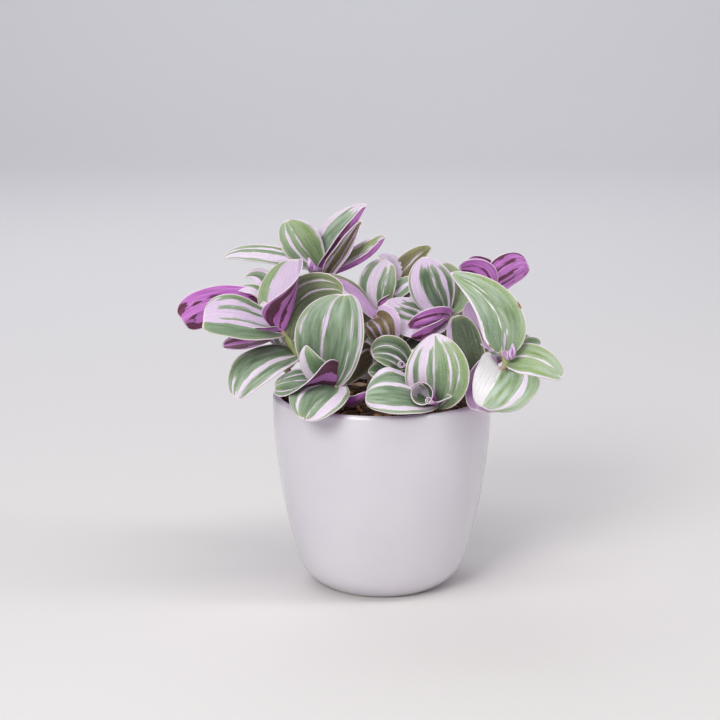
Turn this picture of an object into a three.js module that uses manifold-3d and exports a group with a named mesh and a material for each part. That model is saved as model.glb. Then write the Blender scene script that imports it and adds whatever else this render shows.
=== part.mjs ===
// A bushy tradescantia in a small egg-shaped glazed pot.
// Millimetres and degrees, +Z up. The origin is the centre of the pot's flat underside, and the
// plant's front is at -Y. Each leafy stem is one solid: its leaves and buds are fused to it.
import * as THREE from 'three';
import { mergeVertices } from 'three/addons/utils/BufferGeometryUtils.js';
import Module from 'manifold-3d';

const wasm = await Module();
wasm.setup();

// ---- Driving dimensions ----
const POT_HEIGHT = 116;
const RIM_RADIUS = 65;
const BELLY_DRAFT = 19.5; // how far the wall has come in at the foot, by its long curve
const FOOT_ROUND = 9.3; // how much further the rounded foot comes in
const FOOT_RISE = 20; // height over which the foot rounds out into the wall
const POT_WALL = 4.5;
const POT_FLOOR = 7;
const POT_SIDES = 36;

const SOIL_TOP = 110.5;
const SOIL_GAP = 0.4; // clearance between the soil and the pot
const SOIL_LUMPS = 1.1;

const STEM_RADIUS = 2.2;
const STEM_SIDES = 6;
const STEM_STEPS = 2; // pieces of stem from one knot to the next
const STEM_FOOT_DEPTH = 15; // how deep a stem stands in the soil
const STEM_END = 2; // how far a stem goes on past its last knot
const KNOT_STEP = 0.45; // how far apart up the stem the leaves of one knot start
const HOLE_CLEARANCE = 0.8;
const HOLE_SIDES = 8;

const BLADE_THICKNESS = 0.75;
const BLADE_CELLS_ALONG = 6;
const SMALL_BLADE = 10.2; // a half blade narrower than this is one cell wide, a wider one two
const BASE_HALF_WIDTH = 1.3; // a blade is at least this wide where it leaves the stem
const TIP_HALF_WIDTH = 0.8;
const NARROW_BLADE = 3; // where a half is narrower than this, it lies flatter
const SHARPEST_MITRE = 0.6;
const CLASP_LENGTH = 0.3; // share of the blade that rises round the stem as a channel
const CLASP_ANGLE = 30;
const BUD_SIDES = 8;
const BUD_RINGS = 4;

// Outlines of a blade: how fast it widens at the base, and how fast it narrows to the tip.
const OVATE = [0.5, 0.75];
const OVAL = [0.5, 0.5];
const BLUNT = [0.45, 0.3];
const BROAD_BASE = [0.3, 0.6];

const WELD = 0.01; // corners closer than this are one corner

const COLOURS = {
  glaze: '#d9d6dc',
  soil: '#3a2a1e',
  leaf: '#86a077',
};

// ---- Small helpers ----
const radians = THREE.MathUtils.degToRad;
const vector = (triple) => new THREE.Vector3(...triple);

/** A closed solid from a geometry: shared corners merged, slivers dropped, faces turned out. */
function solid(geometry) {
  const bare = geometry.clone();
  bare.deleteAttribute('normal');
  bare.deleteAttribute('uv');
  const merged = mergeVertices(bare, 1e-4);
  const position = merged.getAttribute('position');
  const corners = [];
  for (let i = 0; i < merged.index.count; i += 3) {
    const [a, b, c] = [0, 1, 2].map((step) => merged.index.getX(i + step));
    if (a !== b && b !== c && c !== a) corners.push(a, b, c);
  }
  if (signedVolume(position, corners) < 0) corners.reverse();
  return new wasm.Manifold(new wasm.Mesh({
    numProp: 3,
    vertProperties: new Float32Array(position.array),
    triVerts: new Uint32Array(corners),
    tolerance: WELD,
  }));
}

function signedVolume(position, corners) {
  const [a, b, c] = [new THREE.Vector3(), new THREE.Vector3(), new THREE.Vector3()];
  let volume = 0;
  for (let i = 0; i < corners.length; i += 3) {
    a.fromBufferAttribute(position, corners[i]);
    b.fromBufferAttribute(position, corners[i + 1]);
    c.fromBufferAttribute(position, corners[i + 2]);
    volume += a.dot(b.cross(c)) / 6;
  }
  return volume;
}

/** The geometry of a finished solid. Pockets closed off between leaf bases are filled. */
function geometryOf(manifold) {
  const { vertProperties, triVerts } = manifold.getMesh();
  const position = new THREE.BufferAttribute(vertProperties, 3);
  const shells = shellsOf(triVerts, position.count);
  const outer = shells.reduce((a, b) => (signedVolume(position, b) > signedVolume(position, a) ? b : a));
  const geometry = new THREE.BufferGeometry();
  geometry.setAttribute('position', position);
  geometry.setIndex(outer);
  return mergeVertices(geometry);
}

/** The triangles of each connected shell. */
function shellsOf(triangles, vertexCount) {
  const parent = Array.from({ length: vertexCount }, (_, i) => i);
  const root = (i) => {
    while (parent[i] !== i) i = parent[i];
    return i;
  };
  for (let i = 0; i < triangles.length; i += 3) {
    parent[root(triangles[i + 1])] = root(triangles[i]);
    parent[root(triangles[i + 2])] = root(triangles[i]);
  }
  const shells = new Map();
  for (let i = 0; i < triangles.length; i += 3) {
    const key = root(triangles[i]);
    if (!shells.has(key)) shells.set(key, []);
    shells.get(key).push(triangles[i], triangles[i + 1], triangles[i + 2]);
  }
  return [...shells.values()];
}

/** A solid turned on the Z axis from a closed profile of [radius, height] points. */
function turned(profile, sides) {
  const points = profile.map(([radius, height]) => new THREE.Vector2(radius, height));
  return new THREE.LatheGeometry(points, sides).rotateX(Math.PI / 2);
}

// ---- The pot: slip-cast, egg-shaped, with a rounded rim and a flat underside ----
function potRadius(height) {
  const down = 1 - height / POT_HEIGHT;
  const foot = Math.max(0, 1 - height / FOOT_RISE);
  return RIM_RADIUS - BELLY_DRAFT * down ** 2 - FOOT_ROUND * foot ** 3;
}

const INSIDE_HEIGHTS = [24, 60, 100]; // where the wall's inside changes its slope

function potProfile() {
  const rimRound = POT_WALL / 2;
  const shoulder = POT_HEIGHT - rimRound;
  const profile = [[0, 0]];
  for (const height of [0, 2.5, 7, 14, 24, 44, 70, 100]) {
    profile.push([potRadius(height), height]);
  }
  for (const angle of [0, 45, 90, 135, 180]) {
    profile.push([
      RIM_RADIUS - rimRound + rimRound * Math.cos(radians(angle)),
      shoulder + rimRound * Math.sin(radians(angle)),
    ]);
  }
  for (const height of [...INSIDE_HEIGHTS].reverse()) {
    profile.push([potRadius(height) - POT_WALL, height]);
  }
  profile.push([potRadius(POT_FLOOR) - POT_WALL, POT_FLOOR]);
  profile.push([0, POT_FLOOR]);
  return profile;
}

// ---- The soil: it fills the pot, and has a plain hole for each stem ----
function soilLump(x, y) {
  return Math.sin(x * 0.31 + y * 0.17) * 0.5 + Math.sin(y * 0.43 - x * 0.12 + 1) * 0.35
    + Math.sin(x * 0.74 + 2) * Math.sin(y * 0.61) * 0.4;
}

function soilSolid(stemFeet) {
  const floor = POT_FLOOR + SOIL_GAP;
  const radiusAt = (height) => potRadius(height) - POT_WALL - SOIL_GAP;
  const edge = radiusAt(100);
  const profile = [[0, floor]];
  for (const height of [floor, ...INSIDE_HEIGHTS]) profile.push([radiusAt(height), height]);
  profile.push([edge, SOIL_TOP - 1]);
  for (const share of [0.9, 0.5]) profile.push([edge * share, SOIL_TOP]);
  profile.push([0, SOIL_TOP]);
  const geometry = turned(profile, POT_SIDES);
  const position = geometry.getAttribute('position');
  for (let i = 0; i < position.count; i += 1) {
    if (position.getZ(i) < SOIL_TOP - 0.01) continue;
    const lump = soilLump(position.getX(i), position.getY(i));
    position.setZ(i, SOIL_TOP + SOIL_LUMPS * lump);
  }
  let soil = solid(geometry);
  const depth = STEM_FOOT_DEPTH + 10;
  for (const [x, y] of stemFeet) {
    const hole = new THREE.CylinderGeometry(
      STEM_RADIUS + HOLE_CLEARANCE, STEM_RADIUS + HOLE_CLEARANCE, depth, HOLE_SIDES,
    );
    hole.rotateX(Math.PI / 2);
    hole.translate(x, y, SOIL_TOP - STEM_FOOT_DEPTH - 1 + depth / 2);
    soil = soil.subtract(solid(hole));
  }
  return soil;
}

// ---- A leaf ----
// The midrib is one curve from the leaf's knot on the stem, through a middle point, to the tip.
// Each half of the blade leaves it at a fold angle and curves on by a cup angle. Halves are listed
// left, right, as seen on the upper face with the tip up.
function leaf(knot, via, tip, halves, face, form = {}) {
  const shape = { fold: [8, 8], cup: [0, 0], outline: OVATE, clasp: CLASP_ANGLE, ...form };
  return { knot, via, tip, halves, face, foldAtTip: shape.fold, ...shape };
}

/** A young leaf that is still rolled up: a spindle, or a short tube where its end is open. */
const bud = (knot, via, tip, radius, open = false) => ({ knot, via, tip, radius, open });

function midribFrame(start, item, along, face) {
  const [via, tip] = [vector(item.via), vector(item.tip)];
  const control = via.clone().multiplyScalar(2).addScaledVector(start, -0.5).addScaledVector(tip, -0.5);
  const curve = new THREE.QuadraticBezierCurve3(start, control, tip);
  const tangent = curve.getTangent(along);
  const up = vector(face).addScaledVector(tangent, -vector(face).dot(tangent)).normalize();
  return { point: curve.getPoint(along), up, side: new THREE.Vector3().crossVectors(tangent, up) };
}

/** Half the width of a blade at a share of its length, as a share of its greatest half width. */
function outlineAt(along, [widen, narrow]) {
  const share = 0.015 + 0.98 * along;
  const widest = widen / (widen + narrow);
  const curve = (t) => t ** widen * (1 - t) ** narrow;
  return curve(share) / curve(widest);
}

/** How one half of a blade leaves the midrib, at a share of its length. */
function halfBlade(item, half, along) {
  const least = THREE.MathUtils.lerp(BASE_HALF_WIDTH, TIP_HALF_WIDTH, along);
  const width = Math.max(item.halves[half] * outlineAt(along, item.outline), least);
  const eased = THREE.MathUtils.smoothstep(along, 0, 1);
  const fold = THREE.MathUtils.lerp(item.fold[half], item.foldAtTip[half], eased);
  const clasp = Math.max(0, item.clasp - 0.4 * fold) * Math.max(0, 1 - along / CLASP_LENGTH) ** 2;
  const opened = Math.min(1, width / NARROW_BLADE);
  return { width, angle: radians((fold + clasp) * opened), bend: radians(item.cup[half]) * opened };
}

/** A point of the blade's middle surface, and the step from it to the upper face. */
function bladePoint(start, item, across, along) {
  const frame = midribFrame(start, item, along, item.face);
  const upperSide = (sign, angle) => frame.up.clone().multiplyScalar(Math.cos(angle))
    .addScaledVector(frame.side, -sign * Math.sin(angle));
  if (across === 0) {
    const [left, right] = [0, 1].map((half) => upperSide(2 * half - 1, halfBlade(item, half, along).angle));
    const between = left.add(right).normalize();
    const mitre = Math.max(between.dot(right), SHARPEST_MITRE);
    return { point: frame.point, step: between.multiplyScalar(BLADE_THICKNESS / 2 / mitre) };
  }
  const sign = Math.sign(across);
  const reach = Math.abs(across);
  const { width, angle, bend } = halfBlade(item, sign < 0 ? 0 : 1, along);
  const turned = angle + bend * reach;
  let out = reach * Math.cos(angle);
  let rise = reach * Math.sin(angle);
  if (Math.abs(bend) > 1e-3) {
    out = (Math.sin(turned) - Math.sin(angle)) / bend;
    rise = (Math.cos(angle) - Math.cos(turned)) / bend;
  }
  const point = frame.point.clone()
    .addScaledVector(frame.side, sign * out * width)
    .addScaledVector(frame.up, rise * width);
  return { point, step: upperSide(sign, turned).multiplyScalar(BLADE_THICKNESS / 2) };
}

/** A closed grid solid: two faces of rows x columns points, split alike, joined round the rim. */
function sheetSolid(upper, lower) {
  const rows = upper.length;
  const columns = upper[0].length;
  const positions = [...upper.flat(), ...lower.flat()].flatMap((p) => p.toArray());
  const top = (row, column) => row * columns + column;
  const under = (row, column) => rows * columns + row * columns + column;
  const corners = [];
  const quad = (a, b, c, d) => corners.push(a, b, c, a, c, d);
  for (let row = 0; row < rows - 1; row += 1) {
    for (let column = 0; column < columns - 1; column += 1) {
      const [r, c] = [row, column];
      quad(top(r, c), top(r, c + 1), top(r + 1, c + 1), top(r + 1, c));
      corners.push(under(r, c), under(r + 1, c + 1), under(r, c + 1));
      corners.push(under(r, c), under(r + 1, c), under(r + 1, c + 1));
    }
    const last = columns - 1;
    quad(top(row, 0), top(row + 1, 0), under(row + 1, 0), under(row, 0));
    quad(top(row, last), under(row, last), under(row + 1, last), top(row + 1, last));
  }
  for (let column = 0; column < columns - 1; column += 1) {
    const last = rows - 1;
    quad(top(0, column), under(0, column), under(0, column + 1), top(0, column + 1));
    quad(top(last, column), top(last, column + 1), under(last, column + 1), under(last, column));
  }
  const geometry = new THREE.BufferGeometry();
  geometry.setAttribute('position', new THREE.Float32BufferAttribute(positions, 3));
  geometry.setIndex(corners);
  return solid(geometry);
}

function leafSolid(start, item) {
  const upper = [];
  const lower = [];
  const cellsAcross = Math.max(...item.halves) < SMALL_BLADE ? 2 : 4;
  for (let i = 0; i <= BLADE_CELLS_ALONG; i += 1) {
    const along = (1 - Math.cos((Math.PI * i) / BLADE_CELLS_ALONG)) / 2;
    const row = [];
    for (let j = 0; j <= cellsAcross; j += 1) {
      row.push(bladePoint(start, item, (2 * j) / cellsAcross - 1, along));
    }
    upper.push(row.map(({ point, step }) => point.clone().add(step)));
    lower.push(row.map(({ point, step }) => point.clone().sub(step)));
  }
  return sheetSolid(upper, lower);
}

function budSolid(start, item) {
  const rings = [];
  for (let i = 0; i <= BUD_RINGS; i += 1) {
    const along = i / BUD_RINGS;
    const frame = midribFrame(start, item, along, [0, -1, 0.3]);
    const swell = item.open ? 0.5 + 0.5 * along : Math.sin(Math.PI * (0.12 + 0.84 * along)) ** 0.8;
    const ring = [];
    for (let k = 0; k < BUD_SIDES; k += 1) {
      const turn = (2 * Math.PI * k) / BUD_SIDES;
      ring.push(frame.point.clone()
        .addScaledVector(frame.side, Math.cos(turn) * item.radius * swell)
        .addScaledVector(frame.up, Math.sin(turn) * item.radius * swell));
    }
    rings.push(ring);
  }
  const positions = rings.flat().flatMap((p) => p.toArray());
  const corners = [];
  for (let i = 0; i < BUD_RINGS; i += 1) {
    for (let k = 0; k < BUD_SIDES; k += 1) {
      const [a, b] = [i * BUD_SIDES + k, i * BUD_SIDES + ((k + 1) % BUD_SIDES)];
      corners.push(a, b, b + BUD_SIDES, a, b + BUD_SIDES, a + BUD_SIDES);
    }
  }
  const topRing = BUD_RINGS * BUD_SIDES;
  for (let k = 1; k < BUD_SIDES - 1; k += 1) {
    corners.push(0, k + 1, k, topRing, topRing + k, topRing + k + 1);
  }
  const geometry = new THREE.BufferGeometry();
  geometry.setAttribute('position', new THREE.Float32BufferAttribute(positions, 3));
  geometry.setIndex(corners);
  return solid(geometry);
}

// ---- A leafy stem: it stands upright in the soil, then runs through its knots ----
function stemSolid(knots) {
  const [x, y] = knots[0];
  const foot = [[x, y, SOIL_TOP - STEM_FOOT_DEPTH], [x, y, SOIL_TOP - 5], [x, y, SOIL_TOP + 2]];
  const points = [...foot, ...knots.slice(1)].map(vector);
  const [before, last] = points.slice(-2);
  points.push(last.clone().addScaledVector(last.clone().sub(before).normalize(), STEM_END));
  const path = new THREE.CatmullRomCurve3(points, false, 'centripetal');
  const section = new THREE.Shape();
  for (let k = 0; k < STEM_SIDES; k += 1) {
    const turn = (2 * Math.PI * k) / STEM_SIDES;
    const point = [STEM_RADIUS * Math.cos(turn), STEM_RADIUS * Math.sin(turn)];
    if (k === 0) section.moveTo(...point);
    else section.lineTo(...point);
  }
  section.closePath();
  const steps = STEM_STEPS * (knots.length + 1);
  return solid(new THREE.ExtrudeGeometry(section, { steps, extrudePath: path, curveSegments: 1 }));
}

function shootSolid({ knots, leaves }) {
  let shoot = stemSolid(knots);
  leaves.forEach((item, i) => {
    const start = vector(knots[item.knot]);
    start.z += KNOT_STEP * ((i % 4) - 1);
    shoot = shoot.add(item.radius ? budSolid(start, item) : leafSolid(start, item));
  });
  return shoot;
}

// ---- The leafy stems, from the front to the back ----
// knots: where the stem leaves the soil, and then where leaves join it.
const SHOOTS = {
  shoot_front_left: {
    knots: [[-24, -30, 110], [-24, -33, 119], [-26, -35, 125], [-28, -33, 128]],
    leaves: [
      leaf(3, [-24, -37, 156], [-21, -27, 179], [26, 15.5], [-0.25, -0.95, 0.2],
        { fold: [10, 10], cup: [10, 10], outline: OVAL }),
      leaf(3, [-40, -41, 140], [-43, -40, 152], [6.5, 8.5], [-0.1, -0.97, 0.2], { fold: [14, 14] }),
      leaf(2, [-44, -44, 128], [-61.5, -47, 128], [19, 17.5], [0, -0.1, 1],
        { fold: [88, 24], foldAtTip: [-8, 22], outline: [0.2, 0.42], clasp: 0 }),
      leaf(2, [-35, -59, 126], [-43, -71, 116], [15, 17], [-0.1, -0.62, 0.78],
        { fold: [6, 6], cup: [-12, -12], outline: OVAL }),
      leaf(1, [-17, -37, 118], [-9, -36, 124], [4, 5], [-0.3, 0.8, 0.45]),
    ],
  },
  shoot_front: {
    knots: [[33, -38, 111], [33, -43, 115], [31, -47, 119]],
    leaves: [
      leaf(2, [31, -52, 140], [30, -42, 159], [18.5, 19], [-0.08, -0.95, 0.3],
        { cup: [12, 12], outline: [0.6, 0.75] }),
      leaf(2, [8, -62, 129], [-9, -60, 127], [14, 16.5], [-0.1, -0.7, 0.7],
        { fold: [6, 6], cup: [-8, -8], outline: [0.6, 0.5] }),
      bud(2, [25, -54, 126], [22, -64, 129], 6.8, true),
      leaf(2, [34, -57, 123.5], [39, -61, 127.5], [5, 4], [-0.1, -0.5, 0.85],
        { fold: [8, 30] }),
      leaf(1, [42, -40, 122], [46, -40, 127], [6, 6], [0.3, 0.5, 0.8]),
    ],
  },
  shoot_right: {
    knots: [[41, -14, 111], [55, -18, 122], [69, -22, 133], [72, -22, 138], [70, -21, 144]],
    leaves: [
      leaf(4, [66, -14, 169], [40, -6, 188], [13.5, 13.5], [-0.15, -0.85, 0.5],
        { cup: [-5, -5], outline: [0.35, 0.72] }),
      leaf(3, [88, -24, 140], [105, -26, 130], [10, 12], [0.1, -0.72, 0.68], { outline: [0.35, 0.5] }),
      bud(4, [74, -28, 144], [75, -30, 151], 3),
      leaf(2, [63, -48, 131], [56, -57, 120], [25, 15], [0.25, -0.82, 0.5],
        { fold: [42, 10], foldAtTip: [10, 5], cup: [-20, 20], outline: [0.2, 0.45], clasp: 0 }),
      leaf(2, [58.5, -43, 129], [52.5, -52.5, 117], [27, 13], [0.25, -0.82, 0.5],
        { fold: [42, 10], foldAtTip: [10, 5], cup: [-20, 20], outline: [0.2, 0.45], clasp: 0 }),
      leaf(1, [48, -12, 146], [43, -8, 163], [9, 12], [-0.25, -0.93, 0.25], { outline: OVAL }),
      leaf(4, [59, -10, 160], [51, -8, 172], [10, 10], [-0.2, -0.93, 0.25], { outline: OVAL }),
      leaf(3, [87, -8, 146], [93, -4, 145], [5, 5], [0.1, -0.7, 0.7]),
    ],
  },
  shoot_low_centre: {
    knots: [[18, -22, 112], [16, -24, 127], [14, -25, 137]],
    leaves: [
      leaf(2, [5, -30, 145], [-6, -32, 145], [10, 11], [-0.1, -0.8, 0.6],
        { cup: [5, 5], outline: OVAL }),
      leaf(1, [2, -32, 134], [-8, -34, 135], [8, 8], [-0.1, -0.8, 0.6]),
      bud(2, [12, -34, 139], [11, -39, 141], 2.5, true),
    ],
  },
  shoot_left: {
    knots: [[-35, -8, 110], [-43, -12, 130], [-49, -15, 141], [-54, -17, 149], [-58, -18, 154]],
    leaves: [
      leaf(2, [-69, -36, 138], [-83, -44, 122], [11.5, 16], [-0.3, -0.7, 0.62],
        { cup: [-8, -8], outline: OVAL }),
      leaf(4, [-80, -32, 162], [-102, -36, 165], [12, 18.5], [-0.1, -0.72, 0.68],
        { fold: [10, 8], cup: [10, 5], outline: [0.5, 0.33] }),
      leaf(4, [-51, -16, 172], [-48, -10, 197], [24, 25], [-0.9, -0.15, 0.3],
        { fold: [58, 70], foldAtTip: [50, 0], cup: [5, 5], outline: [0.5, 0.38] }),
      leaf(3, [-43, -10, 171], [-22, -12, 176], [16, 13], [-0.1, -0.95, 0.25],
        { fold: [6, 6], outline: OVAL }),
      bud(4, [-62, -12, 163], [-70, -13, 171], 3.2, true),
      leaf(4, [-75, -22, 151], [-92, -26, 149], [12, 11], [-0.1, 0.6, 0.75], { outline: OVAL }),
    ],
  },
  shoot_far_left: {
    knots: [[-31, 12, 110], [-46, 10, 138], [-58, 9, 157], [-66, 8, 168]],
    leaves: [
      leaf(3, [-97, 2, 167], [-117, -5, 159], [13, 12], [-0.15, 0.9, 0.25], { outline: BLUNT }),
      leaf(3, [-76, 4, 176], [-85, 4, 176], [5, 5], [-0.3, -0.5, 0.8]),
      leaf(3, [-71, 14, 182], [-82, 17, 182], [5.5, 5.5], [-0.1, -0.75, 0.65]),
    ],
  },
  shoot_top_left: {
    knots: [[-22, 20, 110], [-29, 20, 143], [-32, 18, 170], [-33, 16, 182], [-37, 15, 187]],
    leaves: [
      leaf(4, [-23, 11, 203], [-9, 13, 226], [17.5, 9], [-0.3, -0.88, 0.4],
        { fold: [6, 105], cup: [0, -10], outline: [0.6, 0.65] }),
      leaf(3, [-22, 8, 198], [-12, 10, 217], [8, 9], [0.15, -0.95, 0.3], { fold: [30, 75] }),
      leaf(3, [-9, 10, 194], [2, 12, 208], [10.5, 5], [-0.3, -0.85, 0.45],
        { fold: [10, 105], outline: [0.5, 0.6] }),
      leaf(4, [-49, 8, 204], [-56, 9, 217], [11, 13], [-0.05, -0.92, 0.38],
        { cup: [5, 5], outline: [0.6, 0.6] }),
      leaf(4, [-72, 20, 195], [-95, 20, 193], [7.5, 7.5], [-0.1, -0.6, 0.8], { fold: [10, 10] }),
      bud(4, [-41, 5, 189], [-43, 3, 196], 3),
    ],
  },
  shoot_centre_left: {
    knots: [[-8, -8, 111], [-5, -10, 142], [-3, -11, 162]],
    leaves: [
      leaf(2, [-16, -4, 177], [-40, -4, 185], [8.5, 9.4], [0.1, -0.55, 0.83],
        { fold: [4, -55], foldAtTip: [30, 6], outline: [0.4, 0.6] }),
      leaf(2, [2, -18, 159], [4, -15, 144], [10, 14], [0.1, -0.85, 0.5],
        { cup: [-10, -10], outline: [0.2, 0.5] }),
      leaf(1, [-14, -10, 136], [-22, -12, 122], [9.4, 9.4], [0, -0.9, 0.4]),
    ],
  },
  shoot_centre: {
    knots: [[8, 14, 110], [7, 14, 141], [-1, 13, 163]],
    leaves: [
      leaf(2, [-1, 13, 178], [5, 16, 191], [13, 9.5], [-0.1, -0.93, 0.35], { outline: OVAL }),
      leaf(2, [3, 12, 168], [8, 13, 172], [4.5, 4.5], [0.1, 0.6, 0.7]),
      leaf(2, [11, 17, 175], [22, 19, 181], [7, 7], [-0.1, -0.6, 0.8]),
      leaf(2, [-10, 11, 157], [-17, 9, 138], [9.4, 9.4], [0, -0.9, 0.4]),
    ],
  },
  shoot_centre_back: {
    knots: [[14, 32, 110], [12, 32, 141], [8, 32, 176]],
    leaves: [
      leaf(2, [19, 32, 188], [30, 34, 198], [9, 9], [-0.3, -0.7, 0.65], { fold: [20, 25] }),
      leaf(2, [6, 34, 188], [-2, 36, 192], [5, 5], [-0.1, -0.5, 0.85], { fold: [10, 10] }),
    ],
  },
  shoot_centre_right: {
    knots: [[35, 2, 111], [38, 2, 141], [39, 2, 158], [38, 3, 163]],
    leaves: [
      leaf(3, [29, 0, 179], [25, 5, 196], [13.5, 14], [-0.05, -0.95, 0.3],
        { cup: [5, 5], outline: [0.75, 0.72] }),
      leaf(2, [18, -5, 160], [2, 3, 169], [12, 13], [-0.25, -0.8, 0.55],
        { cup: [5, 5], outline: OVAL }),
      leaf(2, [29, -15, 162], [15, -17, 158], [9, 8], [-0.1, 0.9, 0.4], { outline: BROAD_BASE }),
      leaf(2, [28, -13, 154], [17, -15, 152], [7, 7], [-0.15, 0.8, 0.6], { outline: BROAD_BASE }),
      leaf(3, [41, 7, 177], [36, 9, 192], [9, 11], [0.1, -0.9, 0.4]),
    ],
  },
  shoot_top_right: {
    knots: [[42, 28, 111], [52, 23, 143], [62, 18, 168], [63, 17, 174]],
    leaves: [
      leaf(3, [76, 22, 182], [88, 24, 188], [9, 15], [0.1, 0.85, 0.5], { outline: [0.4, 0.4] }),
      leaf(3, [58, 14, 185], [46, 15, 187], [9, 9], [0, 0.85, 0.5], { outline: [0.4, 0.5] }),
      leaf(3, [63, 26, 185], [52, 28, 191], [7, 7], [0, 0.8, 0.6], { outline: [0.4, 0.5] }),
    ],
  },
  shoot_side_left: {
    knots: [[-50, 12, 110], [-57, 14, 126], [-62, 16, 140]],
    leaves: [
      leaf(2, [-74, 22, 150], [-90, 28, 146], [11, 11], [-0.2, 0, 0.97], { outline: OVAL }),
      leaf(1, [-66, 22, 132], [-78, 32, 124], [12, 12], [-0.3, 0.2, 0.9], { cup: [-5, -5] }),
    ],
  },
  shoot_side_right: {
    knots: [[52, 12, 110], [58, 14, 126], [62, 16, 138]],
    leaves: [
      leaf(2, [76, 12, 146], [92, 8, 140], [12, 12], [0.2, -0.1, 0.97], { outline: OVAL }),
      leaf(1, [70, 24, 132], [84, 32, 124], [12, 12], [0.3, 0.2, 0.9], { cup: [-5, -5] }),
    ],
  },
  shoot_back_left: {
    knots: [[-30, 30, 110], [-36, 36, 128], [-41, 41, 146], [-43, 44, 158]],
    leaves: [
      leaf(3, [-48, 58, 170], [-54, 73, 168], [13, 13], [-0.1, 0.1, 0.98], { outline: OVAL }),
      leaf(2, [-62, 43, 157], [-82, 46, 150], [13, 13], [-0.2, 0.1, 0.97], { cup: [-5, -5] }),
      leaf(1, [-48, 54, 136], [-62, 69, 126], [14, 14], [-0.35, 0.4, 0.85], { cup: [-8, -8] }),
      leaf(3, [-40, 40, 172], [-34, 44, 186], [9.4, 9.4], [0.1, -0.8, 0.5], { fold: [20, 20] }),
    ],
  },
  shoot_back: {
    knots: [[-2, 44, 110], [-2, 51, 130], [0, 56, 148], [2, 59, 158]],
    leaves: [
      leaf(3, [4, 74, 168], [6, 92, 163], [14, 14], [0, 0.25, 0.95], { outline: OVAL }),
      leaf(2, [-17, 60, 158], [-34, 66, 154], [12, 12], [-0.1, 0.2, 0.95], { cup: [-5, -5] }),
      leaf(1, [-6, 70, 136], [-14, 88, 124], [14, 14], [-0.1, 0.5, 0.85], { cup: [-8, -8] }),
      leaf(3, [8, 54, 170], [14, 52, 184], [9.4, 9.4], [-0.1, -0.8, 0.5], { fold: [20, 20] }),
      leaf(1, [14, 60, 134], [26, 74, 126], [12, 12], [0.3, 0.4, 0.85], { cup: [-8, -8] }),
    ],
  },
  shoot_back_right: {
    knots: [[32, 34, 110], [38, 40, 128], [44, 45, 146], [47, 48, 156]],
    leaves: [
      leaf(3, [60, 56, 166], [74, 64, 160], [12, 12], [0.2, 0.1, 0.97], { outline: OVAL }),
      leaf(2, [46, 62, 156], [48, 80, 150], [13, 13], [0, 0.3, 0.95], { cup: [-5, -5] }),
      leaf(1, [54, 48, 132], [68, 58, 122], [13, 13], [0.4, 0.3, 0.85], { cup: [-8, -8] }),
      leaf(2, [60, 38, 152], [76, 34, 148], [11, 11], [0.2, 0, 0.97]),
    ],
  },
};

// ---- Putting it together ----
const materials = {
  glaze: new THREE.MeshStandardMaterial({ color: COLOURS.glaze, roughness: 0.35, metalness: 0 }),
  soil: new THREE.MeshStandardMaterial({ color: COLOURS.soil, roughness: 0.95, metalness: 0 }),
  leaf: new THREE.MeshStandardMaterial({ color: COLOURS.leaf, roughness: 0.5, metalness: 0 }),
};

const group = new THREE.Group();

function addPiece(name, manifold, material) {
  const mesh = new THREE.Mesh(geometryOf(manifold), material);
  mesh.name = name;
  group.add(mesh);
}

const stemFeet = Object.values(SHOOTS).map(({ knots }) => knots[0]);
addPiece('pot', solid(turned(potProfile(), POT_SIDES)), materials.glaze);
addPiece('soil', soilSolid(stemFeet), materials.soil);
for (const [name, shoot] of Object.entries(SHOOTS)) {
  addPiece(name, shootSolid(shoot), materials.leaf);
}

export default group;
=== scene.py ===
import itertools
import math
import random

import bpy
import numpy as np
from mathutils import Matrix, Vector, noise


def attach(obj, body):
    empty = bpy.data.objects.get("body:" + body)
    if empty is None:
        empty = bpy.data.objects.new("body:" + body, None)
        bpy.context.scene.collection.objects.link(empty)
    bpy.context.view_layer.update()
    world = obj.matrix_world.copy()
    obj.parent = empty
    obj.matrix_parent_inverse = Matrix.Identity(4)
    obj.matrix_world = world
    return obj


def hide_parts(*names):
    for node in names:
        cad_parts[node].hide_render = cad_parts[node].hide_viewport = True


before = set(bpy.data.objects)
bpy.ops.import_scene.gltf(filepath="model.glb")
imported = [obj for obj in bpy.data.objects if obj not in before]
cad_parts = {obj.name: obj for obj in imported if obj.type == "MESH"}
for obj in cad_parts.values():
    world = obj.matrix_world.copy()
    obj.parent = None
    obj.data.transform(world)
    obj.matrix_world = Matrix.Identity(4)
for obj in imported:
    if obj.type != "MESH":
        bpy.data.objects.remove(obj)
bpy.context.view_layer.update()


# ---- The pot ----
# A slip-cast earthenware cover pot, egg-shaped, with a rounded lip. A pale lilac-grey glaze runs
# over the lip and down the inside, and the flat foot is wiped bare before firing.
MM = 0.001  # all sizes are in millimetres, unless they say otherwise
POT_HEIGHT, RIM_RADIUS, POT_WALL, POT_FLOOR = 116, 65, 4.5, 7
BELLY_DRAFT, FOOT_ROUND, FOOT_RISE = 19.5, 9.3, 20
FOOT_CENTRE_RADIUS = 20


def pot_radius(height):
    """The pot's outside radius at a height, both in mm: a curved belly on a rounded foot."""
    down = 1 - height / POT_HEIGHT
    foot = max(0, 1 - height / FOOT_RISE)
    return RIM_RADIUS - BELLY_DRAFT * down**2 - FOOT_ROUND * foot**3


def start_from(primitive, **settings):
    """A new primitive, with nothing else selected."""
    bpy.ops.object.select_all(action="DESELECT")
    primitive(**settings)
    return bpy.context.object


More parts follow.
